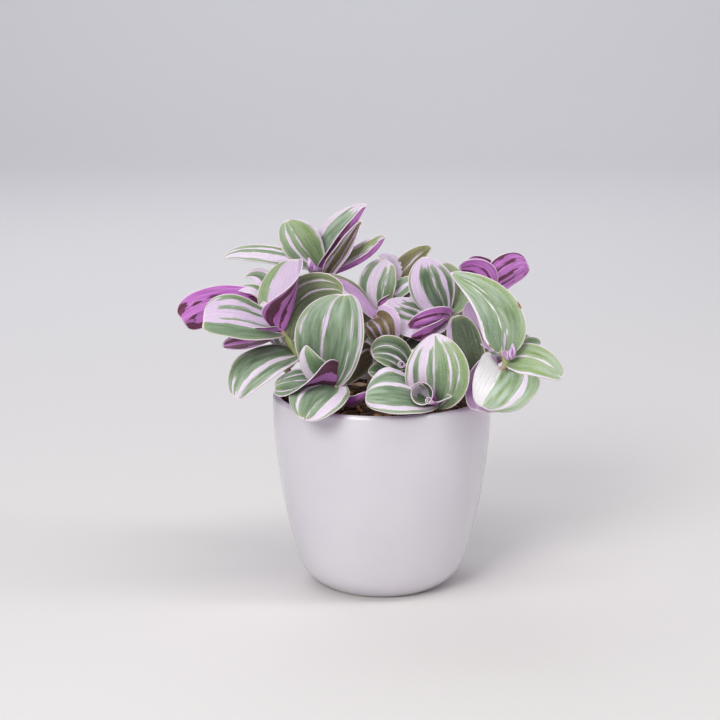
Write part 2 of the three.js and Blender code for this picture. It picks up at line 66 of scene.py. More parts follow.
def turn(name, profile, steps):
    """A piece turned on the Z axis from [radius, height] points in mm that start and end on it."""
    piece = start_from(bpy.ops.mesh.primitive_plane_add, size=MM)
    piece.name = name
    bpy.ops.object.mode_set(mode="EDIT")
    bpy.ops.mesh.merge(type="CENTER")
    (r, z), *others = profile
    bpy.ops.transform.translate(value=(r * MM, 0, z * MM))
    for radius, height in others:
        step = ((radius - r) * MM, 0, (height - z) * MM)
        bpy.ops.mesh.extrude_region_move(TRANSFORM_OT_translate={"value": step})
        r, z = radius, height
    bpy.ops.mesh.select_all(action="SELECT")
    bpy.ops.mesh.spin(steps=steps, angle=2 * math.pi, center=(0, 0, 0), axis=(0, 0, 1))
    bpy.ops.mesh.select_all(action="SELECT")
    bpy.ops.mesh.remove_doubles(threshold=1e-6)
    bpy.ops.mesh.normals_make_consistent(inside=False)
    bpy.ops.object.mode_set(mode="OBJECT")
    bpy.ops.object.shade_smooth()
    return piece


def lip(sides):
    """The half-round lip, from the outside to the inside."""
    round_radius = POT_WALL / 2
    for i in range(sides + 1):
        a = math.pi * i / sides
        yield (RIM_RADIUS - round_radius + round_radius * math.cos(a),
               POT_HEIGHT - round_radius + round_radius * math.sin(a))


foot_heights = [0, 0.4, 1, 2, 3, 4.5, 6, 8, 10, 12, 14, 17, 20]
wall_heights = list(range(24, 113, 4))
pot_profile = [(0, 0), (FOOT_CENTRE_RADIUS, 0), (pot_radius(0) - 0.6, 0)]
pot_profile += [(pot_radius(z), z) for z in foot_heights[1:] + wall_heights]
pot_profile += list(lip(12))
pot_profile += [(pot_radius(z) - POT_WALL, z) for z in reversed(wall_heights[:-1])]
pot_profile += [(pot_radius(z) - POT_WALL, z) for z in (20, 14, 10, POT_FLOOR + 0.5)]
pot_profile += [(pot_radius(POT_FLOOR) - POT_WALL - 1, POT_FLOOR),
                (FOOT_CENTRE_RADIUS, POT_FLOOR), (0, POT_FLOOR)]
pot = turn("pot_glazed", pot_profile, 144)


def paint(code):
    """An sRGB hex colour as linear RGBA."""
    channels = [int(code[i:i + 2], 16) / 255 for i in (1, 3, 5)]
    return (*[c / 12.92 if c <= 0.04045 else ((c + 0.055) / 1.055) ** 2.4 for c in channels], 1)


def feed(tree, node, inputs):
    """Gives each input of a shader node its value, or links what feeds it."""
    for socket, value in inputs.items():
        if isinstance(value, bpy.types.NodeSocket):
            tree.links.new(value, node.inputs[socket])
        else:
            node.inputs[socket].default_value = value


def add(tree, kind, inputs, output=None, **settings):
    """Adds a shader node with its settings and links, and returns its first or its named output."""
    made = tree.nodes.new("ShaderNode" + kind)
    for name, value in settings.items():
        setattr(made, name, value)
    feed(tree, made, inputs)
    return made.outputs[output] if output else next(out for out in made.outputs if out.enabled)


def new_finish(name):
    """A material, and its node tree."""
    finish = bpy.data.materials.new(name)
    finish.use_nodes = True
    return finish, finish.node_tree


def shade(finish, inputs):
    """Feeds a material's principled shader, and returns the material."""
    tree = finish.node_tree
    feed(tree, tree.nodes["Principled BSDF"], inputs)
    return finish


def lilac_grey_glaze():
    """Glazed earthenware: an even satin-gloss coat, over a foot of bare cream clay.

    The glaze is clouded in patches of about 36 mm, and its skin has a faint peel of 4 mm.
    """
    finish, tree = new_finish("lilac_grey_glaze_on_earthenware")
    place = add(tree, "TexCoord", {}, "Object")
    clouds = add(tree, "TexNoise", {"Vector": place, "Scale": 28.0, "Detail": 3.0})
    glaze = add(tree, "Mix", {0: clouds, 6: paint("#d1cdd6"), 7: paint("#dad6dd")},
                data_type="RGBA")
    height = add(tree, "SeparateXYZ", {0: place}, "Z")
    glazed = add(tree, "MapRange", {"Value": height, 1: 0.0002, 2: 0.0008})
    colour = add(tree, "Mix", {0: glazed, 6: paint("#e6ddd0"), 7: glaze}, data_type="RGBA")
    gloss = add(tree, "MapRange", {"Value": glazed, 3: 0.85, 4: 0.22})
    peel = add(tree, "TexNoise", {"Vector": place, "Scale": 260.0, "Detail": 1.0})
    relief = add(tree, "Bump", {"Height": peel, "Strength": 0.035, "Distance": 0.0004})
    return shade(finish, {"Base Color": colour, "Roughness": gloss, "Normal": relief,
                          "IOR": 1.5, "Coat Weight": 0.6, "Coat Roughness": 0.12})


pot.data.materials.append(lilac_grey_glaze())
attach(pot, "root")
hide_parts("pot")


# ---- The soil ----
# Damp peat-based potting soil, filled to just under the lip. Its crumbs and its shreds of bark lie
# loose on it, pressed in a little by watering.
SOIL_TOP = 110.5
SOIL_GAP = 0.4
SOIL_RINGS = 40


def soil_height(x, y):
    """How high the soil lies at a place, in mm, by soft heaps and crumbs."""
    heaps = noise.noise(Vector((x / 16, y / 16, 3)))
    crumbs = noise.noise(Vector((x / 3.2, y / 3.2, 8)))
    return SOIL_TOP + 1.3 * heaps + 0.8 * crumbs


soil_edge = pot_radius(SOIL_TOP) - POT_WALL - SOIL_GAP
soil_profile = [(0, POT_FLOOR + SOIL_GAP)]
for z in (POT_FLOOR + SOIL_GAP, 24, 60, 100):
    soil_profile.append((pot_radius(z) - POT_WALL - SOIL_GAP, z))
soil_profile.append((soil_edge, SOIL_TOP - 1.5))
soil_profile += [(soil_edge * (1 - i / SOIL_RINGS), SOIL_TOP) for i in range(SOIL_RINGS + 1)]
soil = turn("soil_bed", soil_profile, 120)
for point in soil.data.vertices:
    x, y, z = point.co / MM
    if z > SOIL_TOP - 0.01:
        point.co.z = soil_height(x, y) * MM


def damp_peat():
    """Peat and bark mould: nearly black where it is damp, with paler fibres, and no gloss.

    Its grit is about 1 mm, and its drier patches are about 8 mm across.
    """
    finish, tree = new_finish("damp_peat_and_bark_mould")
    place = add(tree, "TexCoord", {}, "Object")
    grit = add(tree, "TexNoise", {"Vector": place, "Scale": 900.0, "Detail": 6.0})
    patches = add(tree, "TexNoise", {"Vector": place, "Scale": 120.0, "Detail": 2.0})
    spread = add(tree, "MapRange", {"Value": grit, 1: 0.35, 2: 0.7})
    damp = add(tree, "Mix", {0: spread, 6: paint("#1f140e"), 7: paint("#4d3524")},
               data_type="RGBA")
    dry = add(tree, "MapRange", {"Value": patches, 1: 0.5, 2: 0.75})
    colour = add(tree, "Mix", {0: dry, 6: damp, 7: paint("#6a4c35")}, data_type="RGBA")
    relief = add(tree, "Bump", {"Height": grit, "Strength": 0.7, "Distance": 0.0008})
    return shade(finish, {"Base Color": colour, "Normal": relief, "Roughness": 0.92,
                          "Specular IOR Level": 0.25})


peat = damp_peat()
soil.data.materials.append(peat)
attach(soil, "root")
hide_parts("soil")


def join(name, parts):
    """The parts as one mesh, with its place in its mesh."""
    bpy.ops.object.select_all(action="DESELECT")
    for part in parts:
        part.select_set(True)
    bpy.context.view_layer.objects.active = parts[0]
    bpy.ops.object.join()
    bpy.ops.object.transform_apply(location=True, rotation=True, scale=True)
    piece = bpy.context.object
    piece.name = name
    return piece


def scatter(name, shape, count, sizes, finish, seed):
    """Copies of one small shape strewn on the soil, half sunk in it, and joined as one piece."""
    draw = random.Random(seed)
    copies = []
    for _ in range(count):
        reach = soil_edge * 0.97 * math.sqrt(draw.random())
        turn_to = draw.uniform(0, 2 * math.pi)
        x, y = reach * math.cos(turn_to), reach * math.sin(turn_to)
        size = draw.uniform(*sizes)
        copy = bpy.data.objects.new(name, shape.data.copy())
        bpy.context.scene.collection.objects.link(copy)
        copy.location = (x * MM, y * MM, (soil_height(x, y) + 0.1 * size) * MM)
        copy.rotation_euler = [draw.uniform(*tilt) for tilt in ((-0.5, 0.5), (-0.5, 0.5), (0, 6.3))]
        copy.scale = [size * MM * draw.uniform(0.7, 1.3) for _ in range(3)]
        copies.append(copy)
    bpy.data.objects.remove(shape)
    piece = join(name, copies)
    piece.data.materials.append(finish)
    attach(piece, "root")


crumb = start_from(bpy.ops.mesh.primitive_ico_sphere_add, subdivisions=2, radius=0.5)
for point in crumb.data.vertices:
    point.co *= 1 + 0.45 * noise.noise(point.co * 2.1)
scatter("soil_crumbs", crumb, 420, (1.0, 3.2), peat, 3)

chip = start_from(bpy.ops.mesh.primitive_cube_add, size=1, scale=(1.0, 0.3, 0.14))
bpy.ops.object.transform_apply(scale=True)
bpy.ops.object.mode_set(mode="EDIT")
bpy.ops.mesh.subdivide(number_cuts=3)
bpy.ops.object.mode_set(mode="OBJECT")
for point in chip.data.vertices:
    point.co.z += 0.12 * math.cos(3 * point.co.x) + 0.05 * noise.noise(point.co * 5)
    point.co.y *= 1 - 0.9 * point.co.x**2


def bark_shred():
    """Shredded pine bark: reddish tan splints, with a grain of 1.4 mm and no gloss."""
    finish, tree = new_finish("shredded_pine_bark")
    place = add(tree, "TexCoord", {}, "Object")
    grain = add(tree, "TexNoise", {"Vector": place, "Scale": 700.0, "Detail": 4.0})
    colour = add(tree, "Mix", {0: grain, 6: paint("#5a3a22"), 7: paint("#b48a5c")},
                 data_type="RGBA")
    return shade(finish, {"Base Color": colour, "Roughness": 0.8})


scatter("bark_shreds", chip, 90, (3.5, 7.5), bark_shred(), 5)


# ---- The fallen leaf ----
# One small leaf has dropped on the soil and dried there: papery, beige, curled along its midrib.
# It lies loose on the crumbs.
FALLEN_LEAF_PLACE = (-13, 24, 113.4)
FALLEN_LEAF_HALF_LENGTH, FALLEN_LEAF_HALF_WIDTH, FALLEN_LEAF_THICKNESS = 6.8, 2.7, 0.3
FALLEN_LEAF_CURL = 1.2  # how far each half curls up, in radians


def flat_blade(cells):
    """A flat grid to bend into a leaf, and its points' places across and along it, -1 to 1."""
    blade = start_from(bpy.ops.mesh.primitive_grid_add, x_subdivisions=cells[0],
                       y_subdivisions=cells[1], size=2)
    places = np.empty(len(blade.data.vertices) * 3)
    blade.data.vertices.foreach_get("co", places)
    return blade, *places.reshape(-1, 3).T[:2]


def thicken(blade, points, thickness, offset):
    """Sets a blade's points, in mm, and gives it its thickness."""
    blade.data.vertices.foreach_set("co", (points * MM).ravel())
    blade.data.update()
    skin = blade.modifiers.new("thickness", "SOLIDIFY")
    skin.thickness = thickness * MM
    skin.offset = offset
    skin.material_offset = min(1, len(blade.data.materials))
    bpy.ops.object.modifier_apply(modifier=skin.name)
    bpy.ops.object.shade_smooth()
    return blade


fallen_leaf, along, across = flat_blade((24, 10))
fallen_leaf.name = "fallen_leaf"
half = FALLEN_LEAF_HALF_WIDTH * np.sqrt(1.02 - along**2)
rise = 1.1 * along**2 + 0.4 * np.sin(5 * along + 2 * across)
curled = [FALLEN_LEAF_HALF_LENGTH * along, half * np.sin(FALLEN_LEAF_CURL * across),
          half * (1 - np.cos(FALLEN_LEAF_CURL * across)) + rise]
thicken(fallen_leaf, np.stack(curled, 1) + FALLEN_LEAF_PLACE, FALLEN_LEAF_THICKNESS, -1)


def dried_leaf():
    """A dried leaf: matt beige paper, browner between its veins, which are 0.7 mm apart."""
    finish, tree = new_finish("dried_tradescantia_leaf")
    place = add(tree, "TexCoord", {}, "Object")
    lined = add(tree, "VectorMath", {0: place, 1: (120, 1400, 1400)}, operation="MULTIPLY")
    veins = add(tree, "TexNoise", {"Vector": lined, "Scale": 1.0, "Detail": 2.0})
    colour = add(tree, "Mix", {0: veins, 6: paint("#a5845f"), 7: paint("#e3d0b6")},
                 data_type="RGBA")
    return shade(finish, {"Base Color": colour, "Roughness": 0.8})


fallen_leaf.data.materials.append(dried_leaf())
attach(fallen_leaf, "root")


# ---- The front left stem ----
# Each leafy stem is a juicy jointed stalk, and at each knot a leaf clasps it with a short sheath.
# This one is short and leans out over the lip. A broad leaf stands up behind it, a folded one shows
# its violet back, and the lowest hangs over the glaze.
STEM_RADIUS = 2.1
STEM_FOOT_DEPTH = 15  # how deep a stem stands in the soil
KNOT_SWELLING, KNOT_REACH = 0.45, 3.2
LEAF_STEP = 0.45  # how far apart leaves sit on one knot
BLADE_THICKNESS, SCROLL_THICKNESS = 0.5, 0.35
RUFFLE_HEIGHT, PLEAT_HEIGHT, PLEAT_WIDTH, GROOVE_DEPTH, GROOVE_WIDTH = 0.45, 0.09, 2.4, 0.35, 0.9
NO_BAND = -30.0  # deep in the green, for a leaf without pale bands
BLADE_CELLS, SCROLL_CELLS = (48, 34), (56, 14)  # across and along
HAIRS_AT_KNOT, HAIR_RADIUS = 16, 0.09
# An outline says how fast a blade widens from its base, and how fast it narrows to its tip.
OVATE, OVAL, BLUNT, BROAD_BASE = (0.5, 0.75), (0.5, 0.5), (0.45, 0.3), (0.3, 0.6)
SIDED = ("halves", "fold", "fold_at_tip", "cup", "tone", "blush")


def leaf(knot, via, tip, halves, face, pale, **form):
    """A leaf's facts. Each of SIDED is one number, or left and right on the upper face, tip up.

    pale lists the pale bands as (from, to) across the blade, -1 to 1, and where a band doesn't
    run the whole length, where it starts and ends, 0 to 1. The other facts: fold and cup, how
    far each half folds up and bends on, and clasp, how far the base folds round the stem, in
    degrees; tone, from deep to fresh green; age, to brown; blush, from white to mauve; sheen,
    how much painted silvery sheen of the light lies on the green; and scorch, the brown nicks in
    the margin.
    """
    facts = {"fold": 8, "cup": 0, "outline": OVATE, "clasp": 30, "tone": 0.5, "age": 0.0,
             "blush": 0.6, "sheen": 0.4, "scorch": ()}
    facts.update(knot=knot, via=via, tip=tip, halves=halves, face=face, pale=pale, **form)
    facts.setdefault("fold_at_tip", facts["fold"])
    for name in SIDED:
        facts[name] = np.broadcast_to(facts[name], 2)
    return facts


def bud(knot, via, tip, radius):
    """The facts of a young leaf that is rolled up tight."""
    return {"knot": knot, "via": via, "tip": tip, "radius": radius}


def scroll(knot, via, tip, radius, turns=1.75, inner=0.3):
    """The facts of a young leaf rolled in a loose scroll. inner is its inner turn's radius."""
    return {"knot": knot, "via": via, "tip": tip, "radius": radius, "turns": turns, "inner": inner}


def bent_line(base, facts, v):
    """The points at shares v of the line from base through via to tip, and its direction there."""
    base, via, tip = [np.array(p, float) for p in (base, facts["via"], facts["tip"])]
    control = 2 * via - (base + tip) / 2
    v = v[:, None]
    points = (1 - v) ** 2 * base + 2 * v * (1 - v) * control + v**2 * tip
    ahead = 2 * (1 - v) * (control - base) + 2 * v * (tip - control)
    return points, ahead / np.linalg.norm(ahead, axis=1)[:, None]


def square_to(ahead, way):
    """The part of a direction that is square to each direction ahead, at length 1."""
    square = way - ahead * (ahead @ way)[:, None]
    return square / np.linalg.norm(square, axis=1)[:, None]


def blade_points(u, v, base, facts):
    """Where a blade's points lie, in mm, which way its upper face looks, and its half width.

    u runs across, -1 to 1, and v from the base to the tip, 0 to 1. Each half folds up from the
    midrib, and bends on from there to its margin.
    """
    rib, ahead = bent_line(base, facts, v)
    up = square_to(ahead, np.array(facts["face"], float))
    side = np.cross(ahead, up)
    half, fold, fold_at_tip, cup = [np.where(u > 0, facts[name][1], facts[name][0]).astype(float)
                                    for name in ("halves", "fold", "fold_at_tip", "cup")]
    widen, narrow = facts["outline"]
    share = 0.015 + 0.98 * v
    widest = widen / (widen + narrow)
    outline = share**widen * (1 - share) ** narrow / (widest**widen * (1 - widest) ** narrow)
    width = np.maximum(half * outline, 1.4 - 1.1 * v)
    eased = v * v * (3 - 2 * v)
    fold = fold * (1 - eased) + fold_at_tip * eased
    fold += np.maximum(0, facts["clasp"] - 0.4 * fold) * np.maximum(0, 1 - v / 0.3) ** 2
    opened = np.minimum(1, width / 3)
    angle = np.radians(fold * opened)
    bend = np.radians(cup) * opened
    bend = np.where(np.abs(bend) < 1e-3, 1e-3, bend)
    turned = angle + bend * np.abs(u)
    out = (np.sin(turned) - np.sin(angle)) / bend * width
    rise = (np.cos(angle) - np.cos(turned)) / bend * width
    sign = np.where(u > 0, 1, -1)
    above = up * np.cos(turned)[:, None] - side * (sign * np.sin(turned))[:, None]
    return rib + side * (sign * out)[:, None] + up * rise[:, None], above, width


def pale_depth(u, v, facts, length):
    """How far inside a pale band each point lies, in mm: below zero in the green."""
    depth = np.full(len(u), NO_BAND)
    half = np.where(u > 0, facts["halves"][1], facts["halves"][0])
    for start, end, *run in facts["pale"]:
        inside = np.minimum(u - start, end - u) * half
        inside = np.where(((start <= -1) & (u < end)) | ((end >= 1) & (u > start)),
                          np.where(start <= -1, end - u, u - start) * half, inside)
        if run:
            ends = np.minimum(v - run[0], np.where(run[1] >= 1, 1.0, run[1] - v)) * length * 0.3
            inside = np.minimum(inside, ends)
        depth = np.maximum(depth, inside)
    return depth


def scorched(u, v, facts, length):
    """How brown each point is, 0 to 1, round the (across, along, radius in mm) of each nick."""
    brown = np.zeros(len(u))
    for across, along, radius in facts["scorch"]:
        away = np.hypot((u - across) * max(facts["halves"]), (v - along) * length)
        brown = np.maximum(brown, 1 - away / radius)
    return brown


def draw_on(blade, drawing, finishes):
    """Writes on a blade what its skins read: its grain, in mm, its bands and its tones."""
    mesh = blade.data
    for name, values in drawing.items():
        kind, field, shape = "FLOAT", "value", (len(mesh.vertices),)
        if name == "grain":
            kind, field, shape = "FLOAT_VECTOR", "vector", (len(mesh.vertices), 3)
        values = np.broadcast_to(np.array(values, float), shape)
        mesh.attributes.new(name, kind, "POINT").data.foreach_set(field, values.ravel())
    for finish in finishes:
        mesh.materials.append(finish)


def grow_blade(base, facts, draw):
    """A leaf blade: a flat grid bent to the leaf's form, ruffled, pleated along its veins."""
    blade, u, t = flat_blade(BLADE_CELLS)
    v = (1 - np.cos(np.pi * (t + 1) / 2)) / 2
    points, above, width = blade_points(u, v, base, facts)
    length = float(np.linalg.norm(np.array(facts["tip"], float) - np.array(base, float)))
    body = np.sin(np.pi * np.clip(v, 0, 1)) ** 0.7
    swing, phase = draw.uniform(1.2, 2.2), draw.uniform(0, 6.3)
    waves = np.sin(2 * np.pi * swing * v + phase + 2 * (u > 0))
    ruffle = RUFFLE_HEIGHT * waves * np.abs(u) ** 3
    pleats = PLEAT_HEIGHT * np.cos(2 * np.pi * np.abs(u) * width / PLEAT_WIDTH)
    groove = -GROOVE_DEPTH * np.exp(-((u * width / GROOVE_WIDTH) ** 2))

    tone, blush = [np.interp(u, (-1, 1), facts[name]) for name in ("tone", "blush")]
    lengths = (u * max(facts["halves"]), v * length, np.full(len(u), draw.uniform(0, 500)))
    draw_on(blade, {
        "grain": np.stack(lengths, 1),
        "pale": pale_depth(u, v, facts, length),
        "margin": np.minimum((1 - np.abs(u)) * width, (1 - v) * length * 0.5),
        # The tone falls toward the base: partly the leaf's deeper green there, partly painted shade
        # among the crowded leaves round the stem.
        "tone": tone + 0.35 * (v - 0.6),
        "age": facts["age"],
        "blush": blush,
        # The painted sheen grows toward the tip, where the light falls more openly.
        "sheen": facts["sheen"] * (0.3 + 0.9 * v),
        "scorch": scorched(u, v, facts, length),
    }, (leaf_top, leaf_underside))
    points = points + above * ((ruffle + pleats + groove) * body)[:, None]
    return thicken(blade, points, BLADE_THICKNESS, 0)


def grow_scroll(base, facts, draw):
    """A young leaf rolled into a loose scroll, open at its top end."""
    blade, across, along = flat_blade(SCROLL_CELLS)
    u, v = (across + 1) / 2, (along + 1) / 2
    centre, ahead = bent_line(base, facts, v)
    x_way = square_to(ahead, np.array((1, 0, 0.2)))
    y_way = np.cross(ahead, x_way)
    a = 2 * np.pi * (0.2 + facts["turns"] * u)
    radius = facts["radius"] * (0.3 + 0.7 * v) * (facts["inner"] + (1 - facts["inner"]) * u)
    rolled = x_way * (np.cos(a) * radius)[:, None] + y_way * (np.sin(a) * radius)[:, None]
    slant = ahead * (-1.2 * (1 - u) * v)[:, None]
    seed = np.full(len(u), draw.uniform(0, 500))
    draw_on(blade, {
        "grain": np.stack((across * 8, v * 14, seed), 1),
        "pale": 1.6 * np.sin(across * 7),
        "margin": np.minimum((1 - v) * 9, (1 - np.abs(across)) * 9),
        "tone": 0.6, "age": 0, "blush": 0.5, "sheen": 0.3, "scorch": 0,
    }, (leaf_underside, leaf_top))
    return thicken(blade, centre + rolled + slant, SCROLL_THICKNESS, 0)


def grow_limb(path, radii, sides):
    """A closed round limb along a path in mm: a cylinder cut into rings, each set on the path."""
    limb = start_from(bpy.ops.mesh.primitive_cylinder_add, vertices=sides, radius=1, depth=2)
    bpy.ops.object.mode_set(mode="EDIT")
    bpy.ops.mesh.select_all(action="DESELECT")
    bpy.ops.object.mode_set(mode="OBJECT")
    for edge in limb.data.edges:
        low, high = [limb.data.vertices[i].co.z for i in edge.vertices]
        edge.select = abs(low - high) > 1
    bpy.ops.object.mode_set(mode="EDIT")
    bpy.ops.mesh.select_mode(type="EDGE")
    bpy.ops.mesh.subdivide(number_cuts=len(path) - 2)
    bpy.ops.object.mode_set(mode="OBJECT")
    across = Vector((1, 0.3, 0.1))
    rings = []
    for i, point in enumerate(path):
        along = Vector(path[min(i + 1, len(path) - 1)]) - Vector(path[max(i - 1, 0)])
        along.normalize()
        across = (across - along * across.dot(along)).normalized()
        rings.append((Vector(point), across.copy(), along.cross(across)))
    for corner in limb.data.vertices:
        i = round((corner.co.z + 1) / 2 * (len(path) - 1))
        centre, x_way, y_way = rings[i]
        corner.co = (centre + (x_way * corner.co.x + y_way * corner.co.y) * radii[i]) * MM
    bpy.ops.object.shade_smooth()
    return limb


def grow_bud(base, facts):
    """A young leaf still rolled up tight: a pointed spindle."""
    shares = np.linspace(0, 1, 13)
    radii = facts["radius"] * np.maximum(0.06, np.sin(np.pi * (0.12 + 0.86 * shares)) ** 0.8)
    limb = grow_limb(bent_line(base, facts, shares)[0], radii, 16)
    limb.data.materials.append(bud_skin)
    return limb


def smooth_path(points, steps):
    """Points along a Catmull-Rom curve, steps to a stretch."""
    ends = [2 * points[0] - points[1], *points, 2 * points[-1] - points[-2]]
    path = []
    for a, b, c, d in zip(ends, ends[1:], ends[2:], ends[3:]):
        for i in range(steps):
            t = i / steps
            path.append(0.5 * (2 * b + (c - a) * t + (2 * a - 5 * b + 4 * c - d) * t**2
                               + (3 * b - a - 3 * c + d) * t**3))
    return path + [points[-1]]


def grow_stalk(knots, leaves):
    """The stalk from its foot in the soil, swollen under each knot where a leaf clasps it."""
    x, y = knots[0][:2]
    feet = [(x, y, SOIL_TOP - STEM_FOOT_DEPTH), (x, y, SOIL_TOP - 5), (x, y, SOIL_TOP + 2)]
    turns = [np.array(p, float) for p in (*feet, *knots[1:])]
    last = turns[-1] - turns[-2]
    turns.append(turns[-1] + 1.6 * last / np.linalg.norm(last))
    path = smooth_path(turns, 7)
    joints = [np.array(knots[item["knot"]], float) for item in leaves]
    nearest = [min(np.linalg.norm(point - joint) for joint in joints) for point in path]
    radii = [STEM_RADIUS * 0.86 + KNOT_SWELLING * math.exp(-((near / KNOT_REACH) ** 2))
             for near in nearest]
    radii[-1] *= 0.5
    limb = grow_limb(path, radii, 14)
    limb.data.materials.append(stalk_skin)
    return limb


def grow_hairs(knots, leaves, draw):
    """The fringe of fine hairs round each sheath's mouth."""
    hairs = []
    pattern = start_from(bpy.ops.mesh.primitive_cone_add, vertices=3, radius1=0.5, depth=1)
    pattern.data.materials.append(hair_skin)
    for index in sorted({item["knot"] for item in leaves}):
        here = Vector(knots[index])
        before = Vector(knots[max(index - 1, 0)])
        along = (here - before).normalized() if index else Vector((0, 0, 1))
        across = along.orthogonal().normalized()
        round_way = along.cross(across)
        for _ in range(HAIRS_AT_KNOT):
            a = draw.uniform(0, 6.3)
            out = across * math.cos(a) + round_way * math.sin(a)
            way = (out + along * draw.uniform(0.2, 1.2)).normalized()
            length = draw.uniform(1.0, 2.2)
            hair = bpy.data.objects.new("hair", pattern.data.copy())
            bpy.context.scene.collection.objects.link(hair)
            hair.location = (here + out * (STEM_RADIUS + 0.1) + way * length * 0.5) * MM
            hair.rotation_mode = "QUATERNION"
            hair.rotation_quaternion = way.to_track_quat("Z", "Y")
            hair.scale = (HAIR_RADIUS * MM, HAIR_RADIUS * MM, length * MM)
            hairs.append(hair)
    bpy.data.objects.remove(pattern)
    return hairs


def grow_shoot(name, knots, leaves):
    """A leafy stem for its node: its leaves as one piece, its stalk, buds and hairs as another."""
    draw = random.Random(name)
    node = "shoot_" + name
    blades, buds = [], []
    for i, facts in enumerate(leaves):
        base = np.array(knots[facts["knot"]], float)
        base[2] += LEAF_STEP * (i % 4 - 1)
        if "turns" in facts:
            blades.append(grow_scroll(base, facts, draw))
        elif "radius" in facts:
            buds.append(grow_bud(base, facts))
        else:
            blades.append(grow_blade(base, facts, draw))
    foliage = join("leaves_" + name, blades)
    hairs = grow_hairs(knots, leaves, draw)
    stem = join("stem_" + name, [grow_stalk(knots, leaves), *buds, *hairs])
    for piece in (foliage, stem):
        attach(piece, "root")
        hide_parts(node)


def striped_leaf_top():
    """A leaf's upper skin: sage green cells, a painted silvery sheen of the light, and bands with
    no green in them.

    The skin is waxy, so it has a soft gloss, and light passes a little way through it. Its veins
    run along the leaf, 0.3 mm apart, which is too fine to show, so the streaks are drawn 0.6 mm
    wide. The broader ribs, the painted sheen and the bands' wandering edges follow the veins too.
    """
    finish, tree = new_finish("tradescantia_leaf_upper_skin")
    grain = add(tree, "Attribute", {}, "Vector", attribute_name="grain")
    read = {name: add(tree, "Attribute", {}, "Fac", attribute_name=name)
            for name in ("pale", "margin", "tone", "age", "blush", "sheen", "scorch")}
    # Each pattern's size in mm, across and along the leaf.
    for name, across, along in (("streaks", 0.6, 14), ("wander", 2.2, 13), ("ribs", 1.2, 26),
                                ("sheen_streaks", 3.2, 18), ("cells", 0.5, 0.9)):
        lined = add(tree, "VectorMath", {0: grain, 1: (1 / across, 1 / along, 1)},
                    operation="MULTIPLY")
        read[name] = add(tree, "TexNoise", {"Vector": lined, "Scale": 1.0, "Detail": 2.0})
    fine = add(tree, "Math", {0: read["streaks"], 1: read["cells"]}, operation="ADD")
    fine = add(tree, "MapRange", {"Value": fine, 1: 0.75, 2: 1.25})
    # Each edge that wanders, the pattern that it follows, and how far, in mm.
    for name, source, swing in (("pale", "wander", 0.75), ("pale", "streaks", 0.5),
                                ("margin", "wander", 0.2), ("scorch", "streaks", 0.2)):
        sway = add(tree, "MapRange", {"Value": read[source], 1: 0.28, 2: 0.72, 3: -swing, 4: swing})
        read[name] = add(tree, "Math", {0: read[name], 1: sway}, operation="ADD")

    # Each layer: what it follows, where it starts and is full, its most, and its two colours.
    layers = {
        "pale": (
            ("blush", -2, -1, 1, "#e9e6e8", "#faf8fa"),
            ("blush", 0, 1, 1, "#c4aacd", "#d7c3dd"),
            ("blush", 1, 2, 1, "#97609a", "#b27fb3"),
        ),
        "green": (
            ("tone", -2, -1, 1, "#647f5b", "#7d9673"),
            ("tone", 0.5, 1.0, 1, "#7f9a55", "#a9bd83"),
            ("tone", 0.5, 0.0, 1, "#354631", "#56694f"),
            ("age", 0, 1, 1, "#5c442c", "#836e4c"),
            ("ribs", 0.5, 0.64, 0.34, "#3f553c", "#3f553c"),
            ("margin", 2.6, 0.8, 0.4, "#8f9f5a", "#a9b479"),
            # Painted sheen: pale silver streaks stand in for the soft sheen of the light on the
            # waxy skin.
            ("sheen_streaks", 0.34, 0.7, read["sheen"], "#abbdab", "#bccaba"),
            ("pale", -1.1, 0.05, 0.35, "#a3b196", "#b4c0a6"),
        ),
    }
    skins = {}
    for skin, coats in layers.items():
        for follows, start, full, most, dark, light in coats:
            share = add(tree, "MapRange", {"Value": read[follows], 1: start, 2: full, 4: most})
            coat = add(tree, "Mix", {0: fine, 6: paint(dark), 7: paint(light)}, data_type="RGBA")
            skins[skin] = add(tree, "Mix", {0: share, 6: skins.get(skin, coat), 7: coat},
                              data_type="RGBA")
    colour = skins["green"]
    for follows, start, full, over in (("pale", -0.05, 0.3, skins["pale"]),
                                       ("margin", 0.6, 0.3, paint("#e3d7df")),
                                       ("scorch", 0.3, 0.6, paint("#8c5a34"))):
        share = add(tree, "MapRange", {"Value": read[follows], 1: start, 2: full})
        colour = add(tree, "Mix", {0: share, 6: colour, 7: over}, data_type="RGBA")

    gloss = add(tree, "MapRange", {"Value": read["cells"], 1: 0.3, 2: 0.7, 3: 0.34, 4: 0.5})
    relief = add(tree, "Bump", {"Height": fine, "Strength": 0.4, "Distance": 0.0003})
    return shade(finish, {"Base Color": colour, "Roughness": gloss, "Normal": relief,
                          "IOR": 1.42, "Subsurface Weight": 0.06,
                          "Subsurface Radius": (1.0, 0.7, 0.5), "Subsurface Scale": 0.0012})


